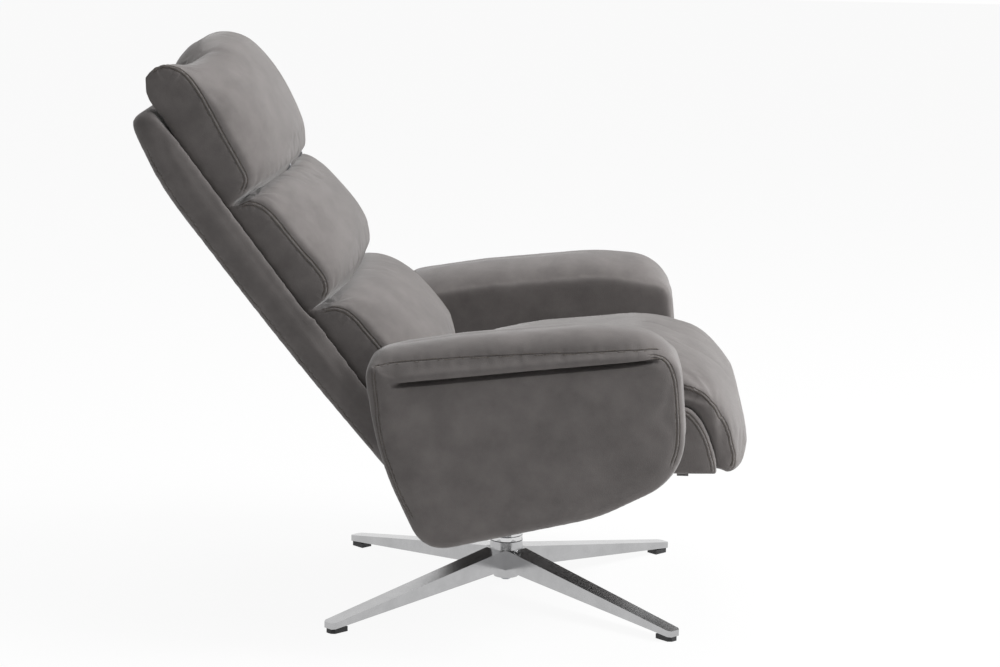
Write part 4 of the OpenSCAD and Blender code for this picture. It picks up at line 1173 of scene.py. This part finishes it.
@dataclass(kw_only=True)
class Seat(Padded):
    """Seat, knee and leg rest under one cover: a section in the middle and one at the sides, as (x, z)."""

    name: str = "seat_and_leg_rest"
    nodes: tuple[str, ...] = ("seat_cushion", "knee_fold", "flap_pad")
    fill: float = 0.7
    seed: int = 8
    inner: Points = (
        (-50, 340), (60, 352), (180, 365), (290, 376), (305, 383), (309, 397), (321, 406),
        (333, 400), (336, 386), (326, 358), (331, 324), (338, 296), (341, 274),
    )
    inner_side: Points = (
        (-50, 341), (60, 353), (180, 366), (268, 379), (284, 382), (297, 379), (309, 366),
        (319, 349), (329, 327), (335, 308), (339, 292), (341, 283), (342, 275),
    )
    tucked: Points = (
        (-50, 341), (60, 353), (180, 366), (262, 374), (277, 374), (288, 368), (298, 357),
        (308, 341), (317, 320), (322, 304), (326, 290), (329, 282), (334, 275),
    )
    outer: Points = (
        (357, 265), (384, 265), (394, 281), (387, 309), (380, 335), (374, 360), (366, 386),
        (354, 408), (335, 428), (315, 441), (292, 448), (262, 454), (225, 458), (173, 452),
        (115, 446), (55, 440), (0, 435), (-35, 427), (-52, 406), (-54, 370),
    )
    outer_side: Points = (
        (349, 270), (358, 273), (366, 281), (368, 292), (367, 307), (363, 323), (355, 347),
        (344, 367), (331, 385), (316, 398), (298, 407), (276, 409), (235, 405), (178, 398),
        (115, 393), (55, 389), (0, 387), (-35, 383), (-50, 372), (-53, 356),
    )
    half_w: float = 257.0
    crown: float = 2.6
    stations: int = 61
    tuck_y: float = 247.0
    tuck_w: float = 4.0
    deep_y: float = 222.0
    deep_w: float = 14.0
    proud: float = 6.0
    facing_up: float = 0.3
    seam_first: int = 1
    seam_last: int = 16
    hollow: float = 3.5
    hollow_x: float = 95.0
    hollow_y: float = 95.0
    hollow_l: float = 120.0
    hollow_w: float = 95.0
    rear_end: float = -50.0
    box_z: float = 345.0
    box_clear: float = 6.0
    box_slope: float = 0.11
    box_end: float = 300.0
    rear_x: float = -42.0
    inside_x: tuple[float, float] = (296.0, 342.0)
    inside_top: float = 384.0
    hold_w: float = 8.0
    knee_start: Triple = (250.0, 0.0, 474.0)
    knee_end: Triple = (381.0, 0.0, 336.0)

    def rings(self) -> np.ndarray:
        """Gives the rings from one side to the other.

        Returns:
            Array of rings by points by 3.
        """
        middle = Curves.loop(self.inner + self.outer)
        side = Curves.loop(self.inner_side + self.outer_side)
        tucked = Curves.loop(self.tucked + self.outer_side)
        inside = np.arange(len(middle)) < len(self.inner) * PER
        rings = []
        for angle in np.linspace(0, math.pi, self.stations):
            u = -math.cos(angle)
            share = math.sqrt(max(0.0, 1 - abs(u) ** self.crown))
            tuck = ramp(self.tuck_y - abs(u) * self.half_w, self.tuck_w)
            deep = ramp(self.deep_y - abs(u) * self.half_w, self.deep_w)
            inner = side + (tucked - side) * tuck + (middle - tucked) * deep
            outline = np.where(inside[:, None], inner, side + (middle - side) * share)
            rings.append(Curves.across(outline, u * self.half_w))
        return np.array(rings)

    def held(self, points: np.ndarray) -> np.ndarray:
        """Holds the underside, the rear end and the inside of the knee.

        Args:
            points: The piece's points, in metres.
        Returns:
            How firmly each is held.
        """
        x = points[:, 0] / MM
        z = points[:, 2] / MM
        under = ramp(self.box_z + (x - self.rear_end) * self.box_slope + self.box_clear - z, self.hold_w)
        first, last = self.inside_x
        inside = ramp(last - x, self.hold_w) * (x > first) * (z < self.inside_top)
        held = np.maximum(under * (x < self.box_end), inside)
        return np.maximum(held, ramp(self.rear_x - x, self.hold_w))

    def seams(self) -> list[Seam]:
        """Gives the seams round both sides, from behind the flap to the rear.

        Returns:
            The seams.
        """
        first = len(self.inner)
        whole = Curves.loop(self.inner_side + self.outer_side)
        path = whole[(first + self.seam_first) * PER : (first + self.seam_last) * PER]
        return [Seam(Curves.across(path, sign * (self.half_w + self.proud))) for sign in (-1, 1)]

    def attach(self, part: Piece) -> None:
        """Bakes the placement of the seat or its stitches into their points, without bending them over the
        knee.

        Args:
            part: The pad or its stitches.
        """
        start = tuple(value * MM for value in self.knee_start)
        end = tuple(value * MM for value in self.knee_end)
        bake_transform(part)

    def shape(self, piece: Piece) -> None:
        """Gives the seat's top the shallow hollows of a seat that has been sat on.

        Args:
            piece: The pad.
        """
        points = Bench.positions(piece)
        x = points[:, 0] / MM
        y = points[:, 1] / MM
        top = Bench.normals(piece)[:, 2] > self.facing_up
        along = ((x - self.hollow_x) / self.hollow_l) ** 2
        hollow = sum(
            np.exp(-along - (((y - side) / self.hollow_w) ** 2)) for side in (-self.hollow_y, self.hollow_y)
        )
        points[:, 2] -= self.hollow * MM * hollow * top
        Bench.move_to(piece, points)


@dataclass(kw_only=True)
class Arm(Padded):
    """An arm: a padded body with a rolled top, whose lower lip hangs over the side, and bordered seams."""

    name: str = "arm_{}"
    nodes: tuple[str, ...] = ("arm_pad_{}", "arm_panel_{}")
    puff: Puff = Puff.FIRM
    inset: float = 1.5
    seed: int = 11
    stations: int = 31
    inner: float = 268.0
    thick: float = 150.0
    roll: float = 44.0
    edge: float = 13.0
    lip: float = 3.5
    slot_depth: float = 17.0
    slot_w: float = 3.4
    slot_end: float = 4.0
    slot_fade: float = 34.0
    slot_soft: float = 1.6
    slot_divide: tuple[float, float] = (30.0, 15.0)
    face_in: float = 40.0
    face_w: float = 12.0
    lip_rise: float = 7.0
    lip_w: float = 9.0
    tuck: float = 0.22
    tuck_w: float = 22.0
    held_w: float = 4.0
    corners: Points = (
        (-115, 168, 52), (154, 231, 250), (290, 301, 100), (270, 519, 78), (140, 528.5, 400),
        (-60, 507, 400), (-215, 481, 45), (-186, 313, 498),
    )
    slot: Points = ((-168, 438), (-72, 449), (33, 461.5), (154, 475), (214, 482), (239, 485))
    roll_seam: Points = (
        (-200, 470), (-149, 476), (-31, 484), (48, 489), (125, 493), (199, 500), (229, 506), (250, 513),
    )
    rear_seam: Points = (
        (-195, 462), (-192, 436), (-188, 400), (-185, 366),
        (-176, 326), (-166, 300), (-152, 261), (-130, 222),
    )
    front_seam: Points = (
        (220, 487), (236, 491), (251, 484), (263, 458), (269, 425), (272, 380), (270, 345), (262, 318),
    )

    def _ring(self, y: float) -> np.ndarray:
        """Gives the arm's outline at a place across it.

        Args:
            y: The place, in millimetres from the chair's middle.
        Returns:
            The outline in x and z.
        """
        outer = self.inner + self.thick
        stand = Curves.round_edge(min(y - self.inner, outer - y), self.edge)
        crest = outer - self.roll
        u = (y - crest) / ((crest - self.inner) if y < crest else self.roll)
        drop = self.roll * (1 - math.sqrt(max(0.0, 1 - u * u)))
        return Curves.rounded(self.corners, ARC_STEPS, stand, max(stand, drop))

    def _on_face(self, points: Points) -> np.ndarray:
        """Gives a smooth path on the arm's outer face."""
        face = self.side.value * (self.inner + self.thick)
        return Curves.across(Curves.loop(points, SEAM_PER, closed=False), face)

    def rings(self) -> np.ndarray:
        """Gives the rings from the inner face to the outer one."""
        stations = self.inner + self.thick * (1 - np.cos(np.linspace(0, math.pi, self.stations))) / 2
        return np.array([Curves.across(self._ring(float(y)), y * self.side.value) for y in stations])

    def shape(self, piece: Piece) -> None:
        """Divides the faces by the slot and presses it in.

        Args:
            piece: The pad.
        """
        slot = self._on_face(self.slot)
        for reach in self.slot_divide:
            Upholstery.refine(piece, [slot], reach)
        self._press_slot(piece)

    def held(self, points: np.ndarray) -> np.ndarray:
        """Holds the inner face, where the arm stands on its sleeves."""
        return (np.abs(points[:, 1]) / MM < self.inner + self.held_w).astype(float)

    def _press_slot(self, body: Piece) -> None:
        """Tucks the outer side in under the roll, and lets the roll's lower lip swell over it.

        Args:
            body: The padded arm.
        """
        points = Bench.positions(body)
        x = points[:, 0] / MM
        z = points[:, 2] / MM
        line = Curves.loop(self.slot, SEAM_PER, closed=False)
        height = z - np.interp(x, line[:, 0], line[:, 1])
        outer = self.inner + self.thick
        face = ramp(np.abs(points[:, 1]) / MM - outer + self.face_in, self.face_w)
        ends = np.minimum(x - line[0, 0] + self.slot_end, line[-1, 0] + self.slot_end - x)
        ends = ramp(ends, self.slot_fade)
        ends = ends * ends * (3 - 2 * ends)
        above = self.lip * bell(height - self.lip_rise, self.lip_w) * (height > 0)
        under = np.clip(-height / self.slot_w, 0, None)
        deep = np.where(height <= 0, np.exp(-(np.clip(under - 1, 0, None) ** 2) / self.slot_soft), 0.0)
        tuck = np.where(height <= 0, self.tuck * bell(height, self.tuck_w), 0.0)
        move = above - self.slot_depth * np.maximum(deep, tuck)
        points[:, 1] += self.side.value * MM * move * face * ends
        Bench.move_to(body, points)

    def seams(self) -> list[Seam]:
        """Gives the seam under the roll and the double seams of both borders.

        Returns:
            The seams.
        """
        return [
            Seam(self._on_face(self.roll_seam), groove=1.2, pucker=0.5, reach=16.0, double=False),
            Seam(self._on_face(self.rear_seam), gap=5.0, groove=1.1, pucker=0.15),
            Seam(self._on_face(self.front_seam), gap=5.0, groove=1.1, pucker=0.15),
        ]


@dataclass(kw_only=True)
class BackShell(Padded):
    """The padded casing behind the back cushions, as rings that stand in round its edges."""

    name: str = "back_casing"
    nodes: tuple[str, ...] = ("back_shell",)
    body: str = "back"
    material_slot: str = "upholstery_panels"
    puff: Puff = Puff.FIRM
    inset: float = 1.0
    fill: float = 0.9
    seed: int = 21
    centre_s: float = 300.0
    end_s: float = 330.0
    end_w: float = 30.0
    end_share: float = 1.2
    rear_w: float = 25.0
    spacing: float = 8.0
    stations: int = 27
    front_hold: float = -92.0
    front_w: float = 6.0
    half_w: float = 262.0
    front: float = -84.0
    edge: float = 22.0
    lip_w: float = 9.0
    lip: Points = ((-10, 0), (20, 13), (252, 13), (264, 7), (600, 7), (650, 0))
    swell: Triple = (-97.0, 196.0, 3.6)
    swell_t: float = 15.0
    swell_s: float = 34.0
    side_y: float = 240.0
    side_w: float = 14.0
    seam_in: float = 3.0
    seam_line: Points = ((20, -126), (375, -140), (530, -139), (600, -133), (625, -124))
    seam_points: int = 60
    outline: Points = (
        (-84, -60), (-84, 60), (-84, 200), (-84, 340), (-84, 480), (-84, 600), (-84, 654),
        (-90, 665), (-107, 670), (-123, 666), (-129, 651), (-135, 624), (-142, 585),
        (-147, 531), (-147, 460), (-146, 375), (-144, 280), (-141, 190), (-137, 110),
        (-131, 20), (-126, -30), (-117, -55), (-105, -61),
    )
    plane: BackPlane = BackPlane()

    def rings(self) -> np.ndarray:
        """Gives the rings from one side to the other.

        Returns:
            Array of rings by points by 3.
        """
        outline = Curves.even(Curves.loop(self.outline, 4), self.spacing)
        rings = []
        across = self.half_w * np.cos(np.linspace(math.pi, 0, self.stations))
        for y in np.sort(np.concatenate([across, [self.lip_w - self.half_w, self.half_w - self.lip_w - 1]])):
            near = self.half_w - abs(y)
            stand = Curves.round_edge(near, self.edge)
            ring = outline.copy()
            rear = ramp(self.front - ring[:, 0], self.rear_w)
            ring[:, 0] += stand * rear
            from_centre = ring[:, 1] - self.centre_s
            ends = ramp(np.abs(from_centre) - self.end_s, self.end_w)
            ring[:, 1] -= np.sign(from_centre) * stand * self.end_share * ends
            if near < self.lip_w:
                rise = np.interp(ring[:, 1], [p[0] for p in self.lip], [p[1] for p in self.lip])
                ring[:, 0] += rise * (ring[:, 0] > self.front - 1)
            rings.append(self.plane.place(ring[:, 0], y, ring[:, 1]))
        return np.array(rings)

    def held(self, points: np.ndarray) -> np.ndarray:
        """Holds the front, behind the cushions."""
        t, _ = self.plane.find(points)
        return ramp(t - self.front_hold, self.front_w)

    def shape(self, piece: Piece) -> None:
        """Swells the casing's sides softly beside the lumbar cushion.

        Args:
            piece: The pad.
        """
        points = Bench.positions(piece)
        t, s = self.plane.find(points)
        place_t, place_s, height = self.swell
        rise = height * np.exp(-(((t - place_t) / self.swell_t) ** 2) - (((s - place_s) / self.swell_s) ** 2))
        side = ramp(np.abs(points[:, 1]) / MM - self.side_y, self.side_w)
        points[:, 1] += np.sign(points[:, 1]) * rise * side * MM
        Bench.move_to(piece, points)

    def seams(self) -> list[Seam]:
        """Gives the seams down both rear edges.

        Returns:
            The seams.
        """
        line = np.array(self.seam_line, float)
        s = np.linspace(line[0, 0], line[-1, 0], self.seam_points)
        t = np.interp(s, line[:, 0], line[:, 1])
        y = self.half_w - self.seam_in
        paths = [self.plane.place(t, sign * y, s) for sign in (-1, 1)]
        return [Seam(path, groove=0.9, pucker=0.6, double=False) for path in paths]


@dataclass(kw_only=True)
class BoxSide(Padded):
    """A padded side of the seat box, with a double seam along the front edge."""

    name: str = "seat_box_side_{}"
    nodes: tuple[str, ...] = ("box_side_{}",)
    material_slot: str = "upholstery_panels"
    fill: float = 0.9
    seed: int = 31
    outline: Points = (
        (-112, 269), (-40, 269), (60, 269), (160, 269), (260, 269), (325, 270), (338, 271),
        (338, 284), (334, 305), (327, 325), (317, 348), (306, 364), (294, 375), (280, 378),
        (262, 375), (180, 365), (60, 351), (-50, 338), (-95, 325), (-111, 312), (-112, 290),
    )
    seam: Points = (
        (252, 367), (276, 370), (288, 367), (299, 357), (310, 342),
        (320, 322), (326, 302), (331, 284), (331, 271),
    )
    inner: float = 246.0
    outer: float = 262.0
    edge: float = 5.0
    stations: int = 6
    voxel: float = 4.0
    rounds: int = 3

    def rings(self) -> np.ndarray:
        """Gives the rings from the inner face to the outer one.

        Returns:
            Array of rings by points by 3.
        """
        outline = Curves.loop(self.outline, 5)
        run = np.gradient(outline, axis=0)
        normal = np.stack([run[:, 1], -run[:, 0]], axis=1)
        normal /= np.linalg.norm(normal, axis=1)[:, None]
        rings = []
        for y in np.linspace(self.inner, self.outer, self.stations):
            stand = Curves.round_edge(min(y - self.inner, self.outer - y), self.edge)
            rings.append(Curves.across(outline - normal * stand, y * self.side.value))
        return np.array(rings)

    def plump(self, piece: Piece, work: Upholstery) -> None:
        """Rounds the thin side off."""
        work.soften(piece, self.voxel, self.rounds)

    def seams(self) -> list[Seam]:
        """Gives the seam along the front edge."""
        path = Curves.across(Curves.loop(self.seam, SEAM_PER, closed=False), self.outer * self.side.value)
        return [Seam(path, gap=5.5, groove=1.0, pucker=0.3)]


@dataclass(kw_only=True)
class Bight(Padded):
    """The foam roll that closes the space behind the seat."""

    name: str = "bight_roll"
    nodes: tuple[str, ...] = ("bight_foam",)
    outline: Points = (
        (-83, 336), (-70, 337), (-56, 340), (-53, 352), (-55, 366), (-64, 371), (-76, 366), (-83, 356),
    )
    half_w: float = 238.0
    stations: int = 40
    voxel: float = 5.0
    rounds: int = 4

    def rings(self) -> np.ndarray:
        """Gives the rings from one side to the other.

        Returns:
            Array of rings by points by 3.
        """
        outline = Curves.loop(self.outline, 5)
        stations = np.linspace(-self.half_w, self.half_w, self.stations)
        return np.array([Curves.across(outline, y) for y in stations])

    def plump(self, piece: Piece, work: Upholstery) -> None:
        """Rounds the hidden roll off."""
        work.soften(piece, self.voxel, self.rounds)


@dataclass
class Hardware:
    """The CAD nodes that stay, with better finishes and softened edges."""

    shading: Shading
    frame: dict
    wrapped: tuple[str, ...] = ("box_front_rail", "headrest_board", "flap_board")
    weld: float = 0.00002
    sharp: float = 35.0

    def build(self) -> None:
        """Dresses every CAD node by its slot and eases the edges of the ones that show."""
        metal = self.shading.metal
        finishes = {
            "cast_aluminium": metal(MetalFinish("polished_cast", (0.46, 0.46, 0.465), 0.17)),
            "bright_steel": metal(MetalFinish("bright_steel", (0.66, 0.66, 0.665), 0.10, 0.04)),
            "zinc_steel": metal(MetalFinish("zinc_steel", (0.42, 0.43, 0.45), 0.42, 0.15)),
            "black_steel": metal(MetalFinish("black_coat", (0.03, 0.03, 0.032), 0.5, 0.2, 0.0, 0.0001)),
        }
        for finish in (
            GrainFinish("black_plastic", (0.012, 0.012, 0.013), (0.03, 0.03, 0.032), 0.5),
            GrainFinish("plywood", (0.42, 0.27, 0.14), (0.62, 0.45, 0.27), 0.6, (1.0, 1.0, 12.0), 60.0),
            GrainFinish("webbing", (0.015, 0.015, 0.016), (0.05, 0.05, 0.052), 0.85, scale=700.0),
        ):
            finishes[finish.name] = self.shading.grained(finish)
        cloth = self.shading.cloth(ClothFinish("plain_cloth", (0.13, 0.125, 0.12)))
        for row in self.frame["record"]["subparts"]:
            node = self.frame["nodes"][row["node"]]
            wrapped = row["node"] in self.wrapped
            Bench.dress(node, cloth if wrapped else finishes.get(row["material_slot"], cloth))
        for name, width in (("star_base", 1.6), ("glides", 0.8), ("column_tube", 0.6), ("swivel_plate", 0.5)):
            node = self.frame["nodes"][name]
            node.modifiers.new("Weld", "WELD").merge_threshold = self.weld
            bevel = node.modifiers.new("Bevel", "BEVEL")
            bevel.width = width * MM
            bevel.segments = 3
            bevel.limit_method = "ANGLE"
            bevel.angle_limit = math.radians(self.sharp)
            bevel.harden_normals = False


@dataclass
class Studio:
    """Camera, lamps and the pale floor."""

    azimuth: float = 2.0286
    elevation: float = 10.7193
    distance: float = 4.63728
    focal: float = 100.545
    roll: float = 0.92628
    target_right: float = -0.01633
    target_up: float = 0.4401
    lamp_aim: float = 0.45
    ambient: float = 0.24
    floor_glow: float = 0.93
    floor_size: float = 30.0
    sensor: float = 36.0

    def camera(self) -> None:
        """Makes the camera at the photograph's viewing angle."""
        a = math.radians(self.azimuth)
        e = math.radians(self.elevation)
        r = math.radians(self.roll)
        back = Vector((math.sin(a) * math.cos(e), -math.cos(a) * math.cos(e), math.sin(e)))
        right = Vector((math.cos(a), math.sin(a), 0))
        up = back.cross(right)
        turned = right * math.cos(r) + up * math.sin(r)
        upright = up * math.cos(r) - right * math.sin(r)
        target = right * self.target_right + Vector((0, 0, self.target_up))
        data = bpy.data.cameras.new("view")
        data.lens = self.focal
        data.sensor_width = self.sensor
        camera = Bench.add("view", data)
        place = target + back * self.distance
        rows = [(turned[k], upright[k], back[k], place[k]) for k in range(3)]
        camera.matrix_world = Matrix((*rows, (0, 0, 0, 1)))
        bpy.context.scene.camera = camera

    def _lamp(self, name: str, place: Triple, size: float, power: float) -> None:
        """Adds a square soft lamp that faces the chair.

        Args:
            name: The lamp's name.
            place: Where it hangs.
            size: Its side.
            power: Its power in watts.
        """
        data = bpy.data.lights.new(name, "AREA")
        data.size = size
        data.energy = power
        lamp = Bench.add(name, data)
        lamp.location = place
        aim = Vector((0, 0, self.lamp_aim)) - Vector(place)
        lamp.rotation_euler = aim.to_track_quat("-Z", "Y").to_euler()

    def _card(self, place: Triple, size: tuple[float, float]) -> None:
        """Stands a grey card behind the camera, which the metal mirrors and the camera doesn't see.

        Args:
            place: The card's centre.
            size: Its width and height.
        """
        bpy.ops.object.select_all(action="DESELECT")
        bpy.ops.mesh.primitive_plane_add(size=1, location=place, rotation=(math.pi / 2, 0, 0))
        card = bpy.context.active_object
        card.name = "grey_card"
        card.scale = (size[0], size[1], 1)
        bpy.ops.object.transform_apply(location=True, rotation=True, scale=True)
        card.visible_camera = False
        Bench.dress(card, self._white("card_grey", 0.12))

    @staticmethod
    def _white(name: str, colour: float) -> Material:
        """Makes a plain matte material of one grey or white.

        Args:
            name: The material's name.
            colour: Its grey, from 0 to 1.
        Returns:
            The material.
        """
        material = bpy.data.materials.new(name)
        material.use_nodes = True
        shader = material.node_tree.nodes["Principled BSDF"]
        Nodes.fill(shader, {"Base Color": (colour, colour, colour, 1), "Roughness": 0.9})
        return material

    @staticmethod
    def _seen(tree: bpy.types.NodeTree) -> Socket:
        """Gives a socket that is 1 for what the camera sees, straight or mirrored.

        Args:
            tree: The material's or the world's nodes.
        Returns:
            The socket.
        """
        path = tree.nodes.new("ShaderNodeLightPath")
        either = tree.nodes.new("ShaderNodeMath")
        either.operation = "MAXIMUM"
        Nodes.wire(
            tree,
            (path.outputs["Is Camera Ray"], either.inputs[0]),
            (path.outputs["Is Glossy Ray"], either.inputs[1]),
        )
        return either.outputs[0]

    def build(self) -> None:
        """Sets the lamps, the world and the floor."""
        scene = bpy.context.scene
        scene.view_settings.view_transform = "Standard"
        world = bpy.data.worlds.new("studio")
        scene.world = world
        world.use_nodes = True
        tree = world.node_tree
        ambient = tree.nodes["Background"]
        seen = tree.nodes.new("ShaderNodeBackground")
        Nodes.fill(ambient, {"Color": (1, 1, 1, 1), "Strength": self.ambient})
        Nodes.fill(seen, {"Color": (1, 1, 1, 1), "Strength": 1.0})
        mix = tree.nodes.new("ShaderNodeMixShader")
        Nodes.wire(
            tree,
            (self._seen(tree), mix.inputs[0]),
            (ambient.outputs[0], mix.inputs[1]),
            (seen.outputs[0], mix.inputs[2]),
            (mix.outputs[0], tree.nodes["World Output"].inputs["Surface"]),
        )
        self._lamp("key", (3.4, -0.45, 2.8), 1.8, 210.0)
        self._lamp("top", (0.0, 0.4, 3.6), 2.2, 55.0)
        self._card((0.0, -7.5, 1.6), (12.0, 5.0))
        bpy.ops.object.select_all(action="DESELECT")
        bpy.ops.mesh.primitive_plane_add(size=self.floor_size, location=(0, 0, 0))
        floor = bpy.context.active_object
        floor.name = "floor"
        Bench.dress(floor, self._floor())

    def _floor(self) -> Material:
        """Makes the floor's white, which keeps the chair's faint shadow.

        Returns:
            The material.
        """
        material = self._white("floor_white", 0.9)
        tree = material.node_tree
        glow = tree.nodes.new("ShaderNodeEmission")
        glow.inputs["Strength"].default_value = 1.0
        share = tree.nodes.new("ShaderNodeMath")
        share.operation = "MULTIPLY"
        share.inputs[1].default_value = self.floor_glow
        mix = tree.nodes.new("ShaderNodeMixShader")
        Nodes.wire(
            tree,
            (self._seen(tree), share.inputs[0]),
            (share.outputs[0], mix.inputs[0]),
            (tree.nodes["Principled BSDF"].outputs[0], mix.inputs[1]),
            (glow.outputs[0], mix.inputs[2]),
            (mix.outputs[0], tree.nodes["Material Output"].inputs["Surface"]),
        )
        return material


LUMBAR = BackCushion(
    name="lumbar_pillow",
    nodes=("lumbar_cushion",),
    body="back",
    middle=(
        (-83, 38), (-40, 37), (10, 38), (40, 44), (52, 66), (57, 95), (58, 125),
        (56, 158), (50, 188), (36, 220), (18, 241), (-2, 253), (-40, 259), (-83, 260),
    ),
    end=(
        (-83, 38), (-65, 37), (-42, 37), (-25, 42), (-18, 60), (-17, 90), (-17, 120),
        (-18, 155), (-20, 190), (-22, 214), (-28, 234), (-43, 250), (-62, 258), (-83, 259),
    ),
    seed=5,
    creases=((-30, 250, -1),),
)
MIDDLE = BackCushion(
    name="middle_pillow",
    nodes=("middle_cushion",),
    body="back",
    middle=(
        (-83, 262), (-50, 261), (-10, 262), (22, 267), (32, 286), (38, 311), (41, 337),
        (40, 364), (36, 395), (33, 425), (28, 446), (12, 459), (-45, 461), (-83, 461),
    ),
    end=(
        (-83, 262), (-72, 261), (-60, 260), (-48, 263), (-33, 272), (-24, 288), (-23, 315),
        (-26, 345), (-28, 385), (-30, 423), (-38, 447), (-53, 463), (-68, 466), (-83, 464),
    ),
    seed=6,
    creases=((-34, 272, 1), (-34, 452, -1)),
)
HEAD = Headrest(
    name="headrest_pillow",
    nodes=("headrest_cushion",),
    body="headrest",
    middle=(
        (-83, 464), (-50, 463), (8, 459), (33, 461), (43, 478), (53, 508), (62, 542),
        (69, 583), (70, 624), (66, 660), (54, 691), (26, 712), (-8, 709), (-42, 693), (-76, 676), (-83, 645),
    ),
    end=(
        (-83, 472), (-72, 470), (-62, 470), (-51, 473), (-39, 479), (-27, 491), (-22, 522),
        (-17, 562), (-10, 607), (-4, 652), (-6, 685), (-25, 710), (-52, 715), (-71, 704), (-82, 682),
        (-83, 645),
    ),
    seed=7,
    creases=((-34, 476, 1),),
)


def main() -> None:
    """Builds the chair's looks around the frame, in order."""
    logging.basicConfig(level=logging.INFO, format="%(name)s: %(message)s")
    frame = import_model()
    shading = Shading()
    cloth = shading.cloth(ClothFinish("napped_cloth", (0.150, 0.138, 0.134)))
    thread = shading.cloth(ClothFinish("thread", (0.115, 0.098, 0.078), 0.1, 0.3, 0.0001, 0.7, 0.1))
    work = Upholstery(cloth, thread)
    studio = Studio()
    studio.camera()
    Hardware(shading, frame).build()
    LOG.info("hardware dressed")
    pieces = [LUMBAR, MIDDLE, HEAD, Seat(), *(BoxSide(side=side) for side in Side), Bight(), BackShell()]
    for piece in (*pieces, *(Arm(side=side) for side in Side)):
        piece.build(work)
        LOG.info("%s made", piece.name)
    studio.build()


if __name__ == "__main__":
    main()
